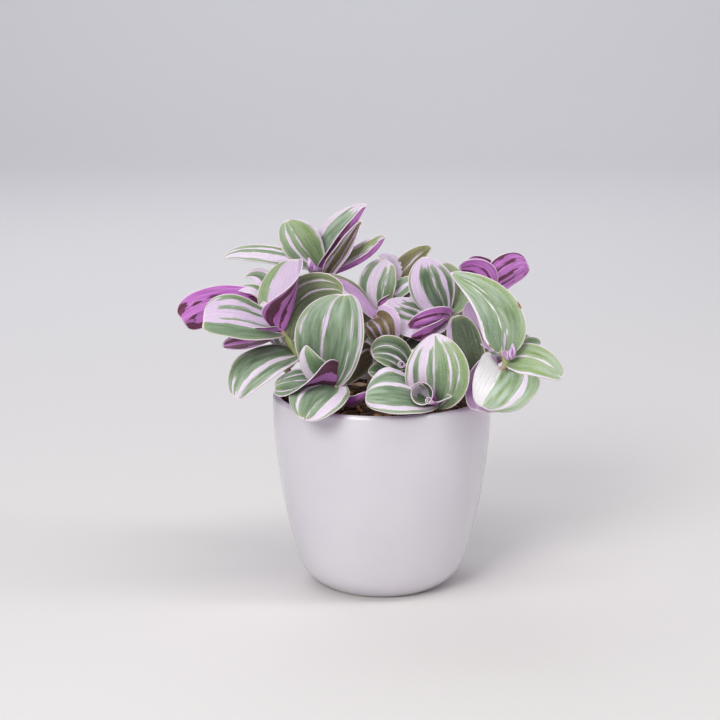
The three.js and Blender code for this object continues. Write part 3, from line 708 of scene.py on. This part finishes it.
def violet_underside():
    """A leaf's lower skin: violet sap in its cells, maroon under the green, magenta elsewhere.

    Its patches are about 3 mm across and its streaks 0.6 mm, along the veins as above.
    """
    finish, tree = new_finish("tradescantia_leaf_lower_skin")
    grain = add(tree, "Attribute", {}, "Vector", attribute_name="grain")
    depth, margin = [add(tree, "Attribute", {}, "Fac", attribute_name=name)
                     for name in ("pale", "margin")]
    for across, along, swing in ((2.6, 9, 1.5), (0.6, 14, 0.6)):
        lined = add(tree, "VectorMath", {0: grain, 1: (1 / across, 1 / along, 1)},
                    operation="MULTIPLY")
        streaks = add(tree, "TexNoise", {"Vector": lined, "Scale": 1.0, "Detail": 2.0})
        sway = add(tree, "MapRange", {"Value": streaks, 1: 0.28, 2: 0.72, 3: -swing, 4: swing})
        depth = add(tree, "Math", {0: depth, 1: sway}, operation="ADD")
    fine = add(tree, "MapRange", {"Value": streaks, 1: 0.3, 2: 0.7})
    maroon, magenta = [
        add(tree, "Mix", {0: fine, 6: paint(dark), 7: paint(light)}, data_type="RGBA")
        for dark, light in (("#5a2f48", "#804a66"), ("#bd60c1", "#dc9be0"))]
    colour = maroon
    for value, start, full, over in ((depth, -0.9, -0.4, magenta),
                                     (margin, 0.6, 0.25, paint("#e6d2e4"))):
        share = add(tree, "MapRange", {"Value": value, 1: start, 2: full})
        colour = add(tree, "Mix", {0: share, 6: colour, 7: over}, data_type="RGBA")
    relief = add(tree, "Bump", {"Height": streaks, "Strength": 0.3, "Distance": 0.0003})
    return shade(finish, {"Base Color": colour, "Normal": relief, "Roughness": 0.38,
                          "IOR": 1.42, "Subsurface Weight": 0.06,
                          "Subsurface Radius": (1.0, 0.4, 0.8), "Subsurface Scale": 0.0012})


def juicy_stalk():
    """The stalk's skin: pale olive, flushed pink in patches of 9 mm, and lined every 1.1 mm."""
    finish, tree = new_finish("tradescantia_stalk_skin")
    place = add(tree, "TexCoord", {}, "Object")
    lined = add(tree, "VectorMath", {0: place, 1: (900, 900, 120)}, operation="MULTIPLY")
    lines = add(tree, "TexNoise", {"Vector": lined, "Scale": 1.0, "Detail": 2.0})
    flush = add(tree, "TexNoise", {"Vector": place, "Scale": 110.0, "Detail": 2.0})
    olive = add(tree, "Mix", {0: lines, 6: paint("#8f9c62"), 7: paint("#b9bf8a")},
                data_type="RGBA")
    share = add(tree, "MapRange", {"Value": flush, 1: 0.45, 2: 0.7})
    colour = add(tree, "Mix", {0: share, 6: olive, 7: paint("#b98d94")}, data_type="RGBA")
    return shade(finish, {"Base Color": colour, "Roughness": 0.4, "Subsurface Weight": 0.15,
                          "Subsurface Radius": (1.0, 0.8, 0.4), "Subsurface Scale": 0.0015})


def rolled_bud():
    """A rolled young leaf, which shows its violet lower skin, lined with pale pink each 1.4 mm."""
    finish, tree = new_finish("tradescantia_rolled_young_leaf")
    place = add(tree, "TexCoord", {}, "Object")
    lined = add(tree, "VectorMath", {0: place, 1: (700, 700, 90)}, operation="MULTIPLY")
    lines = add(tree, "TexNoise", {"Vector": lined, "Scale": 1.0, "Detail": 2.0})
    share = add(tree, "MapRange", {"Value": lines, 1: 0.4, 2: 0.6})
    colour = add(tree, "Mix", {0: share, 6: paint("#a565b4"), 7: paint("#e3cde4")},
                 data_type="RGBA")
    return shade(finish, {"Base Color": colour, "Roughness": 0.4})


leaf_top = striped_leaf_top()
leaf_underside = violet_underside()
stalk_skin = juicy_stalk()
bud_skin = rolled_bud()
# A leaf hair is one row of clear cells, which looks white.
hair_skin = shade(new_finish("tradescantia_hair")[0],
                  {"Base Color": paint("#efe6ee"), "Roughness": 0.5})

grow_shoot("front_left", [(-24, -30, 110), (-24, -33, 119), (-26, -35, 125), (-28, -33, 128)], [
    leaf(3, (-24, -37, 156), (-21, -27, 179), (26, 15.5), (-0.25, -0.95, 0.2),
         [(-0.42, -0.34), (0.44, 0.5), (0.78, 0.9), (-0.9, -0.87, 0.5, 1)],
         fold=10, cup=10, outline=OVAL, tone=(0.3, 0.4), sheen=0.6, blush=0.9),
    leaf(3, (-40, -41, 140), (-43, -40, 152), (6.5, 8.5), (-0.1, -0.97, 0.2), [(-1, -0.3)],
         fold=14),
    leaf(2, (-44, -44, 128), (-61.5, -47, 128), (19, 17.5), (0, -0.1, 1),
         [(0.36, 0.43), (0.66, 0.72), (-0.5, -0.3), (0.9, 1)],
         fold=(88, 24), fold_at_tip=(-8, 22), outline=(0.2, 0.42), clasp=0, tone=0.3),
    leaf(2, (-35, -59, 126), (-43, -71, 116), (15, 17), (-0.1, -0.62, 0.78),
         [(-0.86, -0.4), (-0.12, -0.05, 0.6, 1), (0.54, 0.66)], fold=6, cup=-12,
         outline=OVAL, tone=(0.45, 0.25), scorch=[(0, 1, 2.4)]),
    leaf(1, (-17, -37, 118), (-9, -36, 124), (4, 5), (-0.3, 0.8, 0.45), [(-1, 1)]),
])


# ---- The front stem ----
# The lowest stem in front: an upright broad leaf behind, one that lies along the lip, and between
# them a young leaf that is still half rolled, with the next one furled inside it.
grow_shoot("front", [(33, -38, 111), (33, -43, 115), (31, -47, 119)], [
    leaf(2, (31, -52, 140), (30, -42, 159), (18.5, 19), (-0.08, -0.95, 0.3),
         [(-0.9, -0.74), (-0.62, -0.3), (-0.14, -0.06), (0.36, 0.44), (0.62, 0.7),
          (0.14, 0.9, 0.86, 1), (-0.9, -0.1, 0.8, 1)],
         cup=12, outline=(0.6, 0.75), tone=(0.35, 0.85)),
    leaf(2, (8, -62, 129), (-9, -60, 127), (14, 16.5), (-0.1, -0.7, 0.7),
         [(0.28, 0.42), (0.8, 1), (-0.86, -0.62)], fold=6, cup=-8,
         outline=(0.6, 0.5), tone=0.35, sheen=0.7),
    scroll(2, (25, -54, 126), (22, -64, 129), 6.8, turns=1.2, inner=0.85),
    leaf(2, (34, -57, 123.5), (39, -61, 127.5), (5, 4), (-0.1, -0.5, 0.85), [(-1, -0.8)],
         fold=(8, 30)),
    scroll(2, (28, -58, 123), (26, -66, 126), 2.3),
    leaf(1, (42, -40, 122), (46, -40, 127), 6, (0.3, 0.5, 0.8), [(-0.3, 0.4)]),
])


# ---- The right stem ----
# It leans out to the right. Its leaves are the freshest green, and the lowest one cups down over
# the lip, nearly white on one side.
right_knots = [(41, -14, 111), (55, -18, 122), (69, -22, 133), (72, -22, 138), (70, -21, 144)]
grow_shoot("right", right_knots, [
    leaf(4, (66, -14, 169), (40, -6, 188), 13.5, (-0.15, -0.85, 0.5),
         [(-1, -0.84), (-0.14, -0.1), (0.12, 0.15)],
         cup=-5, outline=(0.35, 0.72), tone=(0.5, 0.85), blush=0.2, sheen=0.9,
         scorch=[(1, 0.42, 2.6), (-0.9, 0.04, 2.0)]),
    leaf(3, (88, -24, 140), (105, -26, 130), (10, 12), (0.1, -0.72, 0.68),
         [(-0.2, -0.1), (0.86, 1), (0.1, 0.4, 0.93, 1)], outline=(0.35, 0.5), tone=0.95,
         blush=0.4, sheen=0.9),
    bud(4, (74, -28, 144), (75, -30, 151), 3),
    leaf(2, (63, -48, 131), (56, -57, 120), (25, 15), (0.25, -0.82, 0.5),
         [(-0.02, 1), (-0.74, -0.58)], fold=(42, 10), fold_at_tip=(10, 5), cup=(-20, 20),
         outline=(0.2, 0.45), clasp=0, blush=(0.75, -0.8), tone=0.8, sheen=1.4),
    leaf(2, (58.5, -43, 129), (52.5, -52.5, 117), (27, 13), (0.25, -0.82, 0.5), [(-1, 1)],
         fold=(42, 10), fold_at_tip=(10, 5), cup=(-20, 20), outline=(0.2, 0.45), clasp=0,
         blush=1.4),
    leaf(1, (48, -12, 146), (43, -8, 163), (9, 12), (-0.25, -0.93, 0.25), [(-1, -0.6)],
         outline=OVAL, tone=-0.1, age=0.1, sheen=0.1, blush=1.2),
    leaf(4, (59, -10, 160), (51, -8, 172), 10, (-0.2, -0.93, 0.25), [(-1, 0.4), (0.6, 1)],
         outline=OVAL, blush=1.3),
    leaf(3, (87, -8, 146), (93, -4, 145), 5, (0.1, -0.7, 0.7), [(0.3, 1)]),
])


# ---- The low middle stem ----
# A young stem in the shade of the others, with two small dark leaves. The next leaf is still
# rolled in a scroll at its top.
grow_shoot("low_centre", [(18, -22, 112), (16, -24, 127), (14, -25, 137)], [
    leaf(2, (5, -30, 145), (-6, -32, 145), (10, 11), (-0.1, -0.8, 0.6),
         [(0.36, 0.45), (-0.1, -0.02), (-0.52, -0.44)], cup=5, outline=OVAL, tone=0.1,
         sheen=0.15),
    leaf(1, (2, -32, 134), (-8, -34, 135), 8, (-0.1, -0.8, 0.6), [(-0.1, 0.0)], tone=0.05),
    scroll(2, (12, -34, 139), (11, -39, 141), 2.5),
])


# ---- The left stem ----
# The strongest stem on the left: its leaves point out to the left in two rows, and the newest one
# stands up, folded along its midrib.
left_knots = [(-35, -8, 110), (-43, -12, 130), (-49, -15, 141), (-54, -17, 149), (-58, -18, 154)]
grow_shoot("left", left_knots, [
    leaf(2, (-69, -36, 138), (-83, -44, 122), (11.5, 16), (-0.3, -0.7, 0.62),
         [(-0.25, 0.1), (-1, -0.8), (0.5, 0.66, 0.8, 1), (-0.6, 0.3, 0.93, 1)],
         cup=-8, outline=OVAL, tone=(0.4, 0.2), sheen=0.7),
    leaf(4, (-80, -32, 162), (-102, -36, 165), (12, 18.5), (-0.1, -0.72, 0.68),
         [(0.6, 0.82), (0.2, 0.5), (-0.06, 0.12), (-0.06, 0.9, 0.8, 1)],
         fold=(10, 8), cup=(10, 5), outline=(0.5, 0.33), tone=0.35, blush=0.9),
    leaf(4, (-51, -16, 172), (-48, -10, 197), (24, 25), (-0.9, -0.15, 0.3),
         [(-0.72, 0.2), (0.34, 0.5), (0.9, 1), (0.0, 1, 0.8, 1)], fold=(58, 70),
         fold_at_tip=(50, 0), cup=5, outline=(0.5, 0.38), tone=0.7, blush=0.9),
    leaf(3, (-43, -10, 171), (-22, -12, 176), (16, 13), (-0.1, -0.95, 0.25),
         [(-0.68, -0.63), (-0.3, -0.26)], fold=6, outline=OVAL,
         tone=(0.6, 0.35), age=0.35, sheen=0.1),
    scroll(4, (-62, -12, 163), (-70, -13, 171), 3.2),
    leaf(4, (-75, -22, 151), (-92, -26, 149), (12, 11), (-0.1, 0.6, 0.75),
         [(-0.85, -0.7), (-0.1, 0.1), (0.85, 1)], outline=OVAL),
])


# ---- The far left stem ----
# It grows near the left wall and reaches furthest out. Its big leaf has turned over and shows
# only its violet back.
grow_shoot("far_left", [(-31, 12, 110), (-46, 10, 138), (-58, 9, 157), (-66, 8, 168)], [
    leaf(3, (-97, 2, 167), (-117, -5, 159), (13, 12), (-0.15, 0.9, 0.25),
         [(-1, -0.55, 0, 0.8), (-0.42, 0.0, 0.25, 0.9), (0.1, 0.55, 0, 0.75), (0.7, 1, 0, 0.6),
          (-0.5, 0.3, 0.92, 1)], outline=BLUNT),
    leaf(3, (-76, 4, 176), (-85, 4, 176), 5, (-0.3, -0.5, 0.8), [(-1, 0.5)]),
    leaf(3, (-71, 14, 182), (-82, 17, 182), 5.5, (-0.1, -0.75, 0.65),
         [(-1, -0.45), (0.45, 1)], tone=0.3),
])


# ---- The top left stem ----
# The tallest stem: a long bare stalk, with a fan of narrow leaves at its top, half of them still
# folded along the midrib.
top_left_knots = [(-22, 20, 110), (-29, 20, 143), (-32, 18, 170), (-33, 16, 182), (-37, 15, 187)]
grow_shoot("top_left", top_left_knots, [
    leaf(4, (-23, 11, 203), (-9, 13, 226), (17.5, 9), (-0.3, -0.88, 0.4),
         [(-1, -0.8), (-0.24, -0.2, 0.4, 1), (0.04, 0.62), (-1, 1, 0.87, 1)], fold=(6, 105),
         cup=(0, -10), outline=(0.6, 0.65), tone=(0.3, 0.4), sheen=0.9),
    leaf(3, (-22, 8, 198), (-12, 10, 217), (8, 9), (0.15, -0.95, 0.3),
         [(-0.75, -0.58), (-0.12, 0.02), (0.6, 1)], fold=(30, 75), tone=0.3, age=0.7,
         sheen=0.0, blush=1.3),
    leaf(3, (-9, 10, 194), (2, 12, 208), (10.5, 5), (-0.3, -0.85, 0.45),
         [(-1, -0.84), (-0.5, -0.36), (-0.12, 0.02), (0.2, 0.8)], fold=(10, 105),
         outline=(0.5, 0.6), tone=1.1, age=0.3),
    leaf(4, (-49, 8, 204), (-56, 9, 217), (11, 13), (-0.05, -0.92, 0.38),
         [(-1, -0.9), (-0.45, -0.3), (0.0, 0.05), (0.86, 1)], cup=5,
         outline=(0.6, 0.6), tone=(0.55, 0.95)),
    leaf(4, (-72, 20, 195), (-95, 20, 193), 7.5, (-0.1, -0.6, 0.8),
         [(-0.66, 0.24), (0.5, 0.7)], fold=10),
    bud(4, (-41, 5, 189), (-43, 3, 196), 3),
])


# ---- The middle left stem ----
# It stands behind the broad front leaves. One of its leaves is folded lengthwise, and an old one
# is browning.
grow_shoot("centre_left", [(-8, -8, 111), (-5, -10, 142), (-3, -11, 162)], [
    leaf(2, (-16, -4, 177), (-40, -4, 185), (8.5, 9.4), (0.1, -0.55, 0.83), [(-1, 0.62)],
         fold=(4, -55), fold_at_tip=(30, 6), outline=(0.4, 0.6), tone=0.2, age=0.5, blush=1.6),
    leaf(2, (2, -18, 159), (4, -15, 144), (10, 14), (0.1, -0.85, 0.5),
         [(-1, -0.6), (-0.12, -0.04), (0.3, 0.36), (0.62, 0.7)], cup=-10,
         outline=(0.2, 0.5), age=0.9, tone=0.05, blush=1.2, sheen=0.0),
    # This leaf fills the plant's inner shade, and its dark olive brown is painted shade.
    leaf(1, (-14, -10, 136), (-22, -12, 122), 9.4, (0, -0.9, 0.4), [(0.2, 0.3)], age=0.6,
         tone=0.0, sheen=0.0),
])


# ---- The middle stem ----
# It stands in the heart of the plant, with four pale young leaves at its top. Below them hangs a
# leaf in the plant's inner shade, painted dark olive brown as shade.
grow_shoot("centre", [(8, 14, 110), (7, 14, 141), (-1, 13, 163)], [
    leaf(2, (-1, 13, 178), (5, 16, 191), (13, 9.5), (-0.1, -0.93, 0.35),
         [(-0.62, -0.12), (-1, -0.9), (0.18, 0.3), (-0.9, 0.2, 0.85, 1)], outline=OVAL),
    leaf(2, (3, 12, 168), (8, 13, 172), 4.5, (0.1, 0.6, 0.7), [(-0.3, 0.4)]),
    leaf(2, (11, 17, 175), (22, 19, 181), 7, (-0.1, -0.6, 0.8), [(-0.2, 0.3)]),
    leaf(2, (8, 18, 170), (21, 22, 176), (6, 7), (0, -0.9, 0.4), [(-1, -0.3)], tone=0.1, blush=1.6),
    # This leaf fills the plant's inner shade, and its dark olive brown is painted shade.
    leaf(2, (-10, 11, 157), (-17, 9, 138), 9.4, (0, -0.9, 0.4), [(-0.4, -0.3)], age=0.5,
         tone=0.0, sheen=0.0),
])


# ---- The middle back stem ----
# An older stem, bare but for two leaves at its top. The broad one is drying to olive brown, and
# the small one beside it is pale.
grow_shoot("centre_back", [(14, 32, 110), (12, 32, 141), (8, 32, 176)], [
    leaf(2, (19, 32, 188), (30, 34, 198), 9, (-0.3, -0.7, 0.65), [(-0.2, -0.14)],
         fold=(20, 25), age=0.75, tone=(0.9, 0.4), sheen=0.0),
    leaf(2, (6, 34, 188), (-2, 36, 192), 5, (-0.1, -0.5, 0.85), [(-1, 1)], fold=10,
         age=0.2),
])


# ---- The middle right stem ----
# It rises right of the middle. Two of its leaves have turned their violet backs to the front,
# under a pair of pale ones.
grow_shoot("centre_right", [(35, 2, 111), (38, 2, 141), (39, 2, 158), (38, 3, 163)], [
    leaf(3, (29, 0, 179), (25, 5, 196), (13.5, 14), (-0.05, -0.95, 0.3),
         [(-0.92, -0.4), (0.17, 0.23), (0.5, 0.7), (0.92, 1), (-0.95, 0.95, 0.82, 1)],
         cup=5, outline=(0.75, 0.72), tone=0.1, blush=0.9),
    leaf(2, (18, -5, 160), (2, 3, 169), (12, 13), (-0.25, -0.8, 0.55),
         [(-1, -0.08), (0.12, 0.22), (0.42, 0.58), (0.76, 1), (-1, 1, 0, 0.42), (-1, 1, 0.78, 1)],
         cup=5, outline=OVAL, tone=0.1, sheen=0.1, blush=0.8),
    leaf(2, (29, -15, 162), (15, -17, 158), (9, 8), (-0.1, 0.9, 0.4),
         [(-1, -0.6, 0, 0.7), (-0.3, 0.3, 0, 0.9), (0.6, 1, 0, 0.8)], outline=BROAD_BASE),
    leaf(2, (28, -13, 154), (17, -15, 152), 7, (-0.15, 0.8, 0.6),
         [(-0.9, -0.3), (0.2, 0.8, 0, 0.7)], outline=BROAD_BASE),
    leaf(3, (41, 7, 177), (36, 9, 192), (9, 11), (0.1, -0.9, 0.4), [(-1, -0.6)], tone=0.8),
    leaf(1, (24, 4, 148), (10, 4, 139), 8, (0, -0.9, 0.4), [(0.3, 0.42)], tone=0.0, sheen=0.0),
])


# ---- The top right stem ----
# It leans out to the right. Its leaves face backwards, so that their violet backs, striped with
# maroon, show from the front.
grow_shoot("top_right", [(42, 28, 111), (52, 23, 143), (62, 18, 168), (63, 17, 174)], [
    leaf(3, (76, 22, 182), (88, 24, 188), (9, 15), (0.1, 0.85, 0.5),
         [(-1, -0.78), (-0.6, -0.4), (-0.22, 0.02), (0.2, 0.45), (0.62, 0.8)], outline=(0.4, 0.4)),
    leaf(3, (58, 14, 185), (46, 15, 187), 9, (0, 0.85, 0.5),
         [(-0.95, -0.5), (-0.2, 0.1), (0.35, 0.6)], outline=(0.4, 0.5)),
    leaf(3, (63, 26, 185), (52, 28, 191), 7, (0, 0.8, 0.6), [(-0.6, 0.0), (0.4, 1)],
         outline=(0.4, 0.5)),
])


# ---- The stems at the sides and the back ----
# They grow like those in front, with up to five leaves each, and most of them arch outwards over
# the lip. Each leaf clasps its knot as in front.
def wild_bands(seed):
    """Pale bands as this plant throws them: a few to a leaf, broad and narrow, unevenly set."""
    draw = random.Random(seed)
    bands, at = [], draw.uniform(-1.0, -0.6)
    while at < 0.9:
        width = draw.choice((0.07, 0.1, 0.22, 0.35))
        bands.append((at, min(at + width, 1)))
        at += width + draw.uniform(0.25, 0.6)
    return bands


leaf_numbers = itertools.count(1)


def back_leaf(knot, via, tip, half, face, **form):
    """A leaf with two like halves, and with bands and a tone by the luck of its number."""
    number = next(leaf_numbers)
    tone = random.Random(number).uniform(0.2, 0.9)
    return leaf(knot, via, tip, half, face, wild_bands(number), tone=tone, **form)


grow_shoot("side_left", [(-50, 12, 110), (-57, 14, 126), (-62, 16, 140)], [
    back_leaf(2, (-74, 22, 150), (-90, 28, 146), 11, (-0.2, 0, 0.97), outline=OVAL),
    back_leaf(1, (-66, 22, 132), (-78, 32, 124), 12, (-0.3, 0.2, 0.9), cup=-5),
])
grow_shoot("side_right", [(52, 12, 110), (58, 14, 126), (62, 16, 138)], [
    back_leaf(2, (76, 12, 146), (92, 8, 140), 12, (0.2, -0.1, 0.97), outline=OVAL),
    back_leaf(1, (70, 24, 132), (84, 32, 124), 12, (0.3, 0.2, 0.9), cup=-5),
])
grow_shoot("back_left", [(-30, 30, 110), (-36, 36, 128), (-41, 41, 146), (-43, 44, 158)], [
    back_leaf(3, (-48, 58, 170), (-54, 73, 168), 13, (-0.1, 0.1, 0.98), outline=OVAL),
    back_leaf(2, (-62, 43, 157), (-82, 46, 150), 13, (-0.2, 0.1, 0.97), cup=-5),
    back_leaf(1, (-48, 54, 136), (-62, 69, 126), 14, (-0.35, 0.4, 0.85), cup=-8),
    back_leaf(3, (-40, 40, 172), (-34, 44, 186), 9.4, (0.1, -0.8, 0.5), fold=20),
])
grow_shoot("back", [(-2, 44, 110), (-2, 51, 130), (0, 56, 148), (2, 59, 158)], [
    back_leaf(3, (4, 74, 168), (6, 92, 163), 14, (0, 0.25, 0.95), outline=OVAL),
    back_leaf(2, (-17, 60, 158), (-34, 66, 154), 12, (-0.1, 0.2, 0.95), cup=-5),
    back_leaf(1, (-6, 70, 136), (-14, 88, 124), 14, (-0.1, 0.5, 0.85), cup=-8),
    back_leaf(3, (8, 54, 170), (14, 52, 184), 9.4, (-0.1, -0.8, 0.5), fold=20),
    back_leaf(1, (14, 60, 134), (26, 74, 126), 12, (0.3, 0.4, 0.85), cup=-8),
])
grow_shoot("back_right", [(32, 34, 110), (38, 40, 128), (44, 45, 146), (47, 48, 156)], [
    back_leaf(3, (60, 56, 166), (74, 64, 160), 12, (0.2, 0.1, 0.97), outline=OVAL),
    back_leaf(2, (46, 62, 156), (48, 80, 150), 13, (0, 0.3, 0.95), cup=-5),
    back_leaf(1, (54, 48, 132), (68, 58, 122), 13, (0.4, 0.3, 0.85), cup=-8),
    back_leaf(2, (60, 38, 152), (76, 34, 148), 11, (0.2, 0, 0.97)),
])


# ---- The floor, the light and the camera ----
# A plain pale paper sweep, 8 m wide, which rises behind in a soft curve and has a light of its own.
# Soft daylight falls on the plant from the front left, from above, from the right and from behind.
FLOOR_SIDE, SWEEP_RISE, SWEEP_CURVE = 8, 4, 1.5  # in metres
BACK_OF_FLOOR = 3  # an edge further back than this, in metres, is the floor's back edge
floor = start_from(bpy.ops.mesh.primitive_plane_add, size=FLOOR_SIDE)
floor.name = "floor"
bpy.ops.object.mode_set(mode="EDIT")
bpy.ops.mesh.select_all(action="DESELECT")
bpy.ops.object.mode_set(mode="OBJECT")
for edge in floor.data.edges:
    edge.select = all(floor.data.vertices[i].co.y > BACK_OF_FLOOR for i in edge.vertices)
bpy.ops.object.mode_set(mode="EDIT")
bpy.ops.mesh.select_mode(type="EDGE")
bpy.ops.mesh.extrude_region_move(TRANSFORM_OT_translate={"value": (0, 0, SWEEP_RISE)})
bpy.ops.object.mode_set(mode="OBJECT")
for edge in floor.data.edges:
    ends = [floor.data.vertices[i].co for i in edge.vertices]
    edge.select = all(abs(end.z) < 0.01 and end.y > BACK_OF_FLOOR for end in ends)
bpy.ops.object.mode_set(mode="EDIT")
bpy.ops.mesh.bevel(offset=SWEEP_CURVE, segments=16)
bpy.ops.object.mode_set(mode="OBJECT")
bpy.ops.object.shade_smooth()

# The sweep is matt paper, so it has no gloss, and its grain is too fine to show.
paper = new_finish("matt_paper_sweep")[0]
floor.data.materials.append(shade(paper, {"Base Color": paint("#dcd9d8"), "Roughness": 0.7}))

world = bpy.data.worlds.new("soft_room")
bpy.context.scene.world = world
world.use_nodes = True
world.node_tree.nodes["Background"].inputs["Color"].default_value = paint("#e8ecf4")
world.node_tree.nodes["Background"].inputs["Strength"].default_value = 0.31


def window_light(name, place, size, power, colour, aim=(0, 0, 0.12)):
    """A soft rectangular light, in metres and watts, that faces aim: the plant, if not given."""
    light = bpy.data.lights.new(name, "AREA")
    light.shape = "RECTANGLE"
    light.size, light.size_y = size
    light.energy = power
    light.color = paint(colour)[:3]
    lamp = bpy.data.objects.new(name, light)
    bpy.context.scene.collection.objects.link(lamp)
    lamp.location = place
    lamp.rotation_euler = (Vector(aim) - Vector(place)).to_track_quat("-Z", "Y").to_euler()


window_light("key_window", (-0.8, -1.6, 1.2), (0.8, 0.8), 25, "#fffdfb")
window_light("top_window", (0.1, -0.5, 1.6), (1.8, 0.45), 11, "#fffdfb")
window_light("right_fill", (1.6, -0.3, 0.9), (0.3, 1.2), 7, "#fbf6f6")
window_light("back_window", (-0.6, 1.2, 1.5), (1.4, 1.0), 8, "#f6f8ff")
window_light("wall_light", (0, 1.4, 2.6), (3.0, 0.5), 54, "#eef3ff", aim=(0, 4, 1.2))

CAMERA_BACK, CAMERA_UP, CAMERA_PITCH = 1044, 355, 11.9  # mm, mm and degrees
FOCAL_IN_FRAMES = 2.5  # focal length as a share of the frame's width
POT_AXIS_SHIFT = 22 / 720  # how far right of the middle the pot's axis stands
camera_data = bpy.data.cameras.new("camera")
camera_data.sensor_width = 36
camera_data.lens = 36 * FOCAL_IN_FRAMES
camera_data.shift_x = -POT_AXIS_SHIFT
camera_data.clip_end = 50
camera = bpy.data.objects.new("camera", camera_data)
bpy.context.scene.collection.objects.link(camera)
camera.location = (0, -CAMERA_BACK * MM, CAMERA_UP * MM)
camera.rotation_euler = (math.radians(90 - CAMERA_PITCH), 0, 0)
bpy.context.scene.camera = camera
bpy.context.scene.view_settings.view_transform = "Standard"
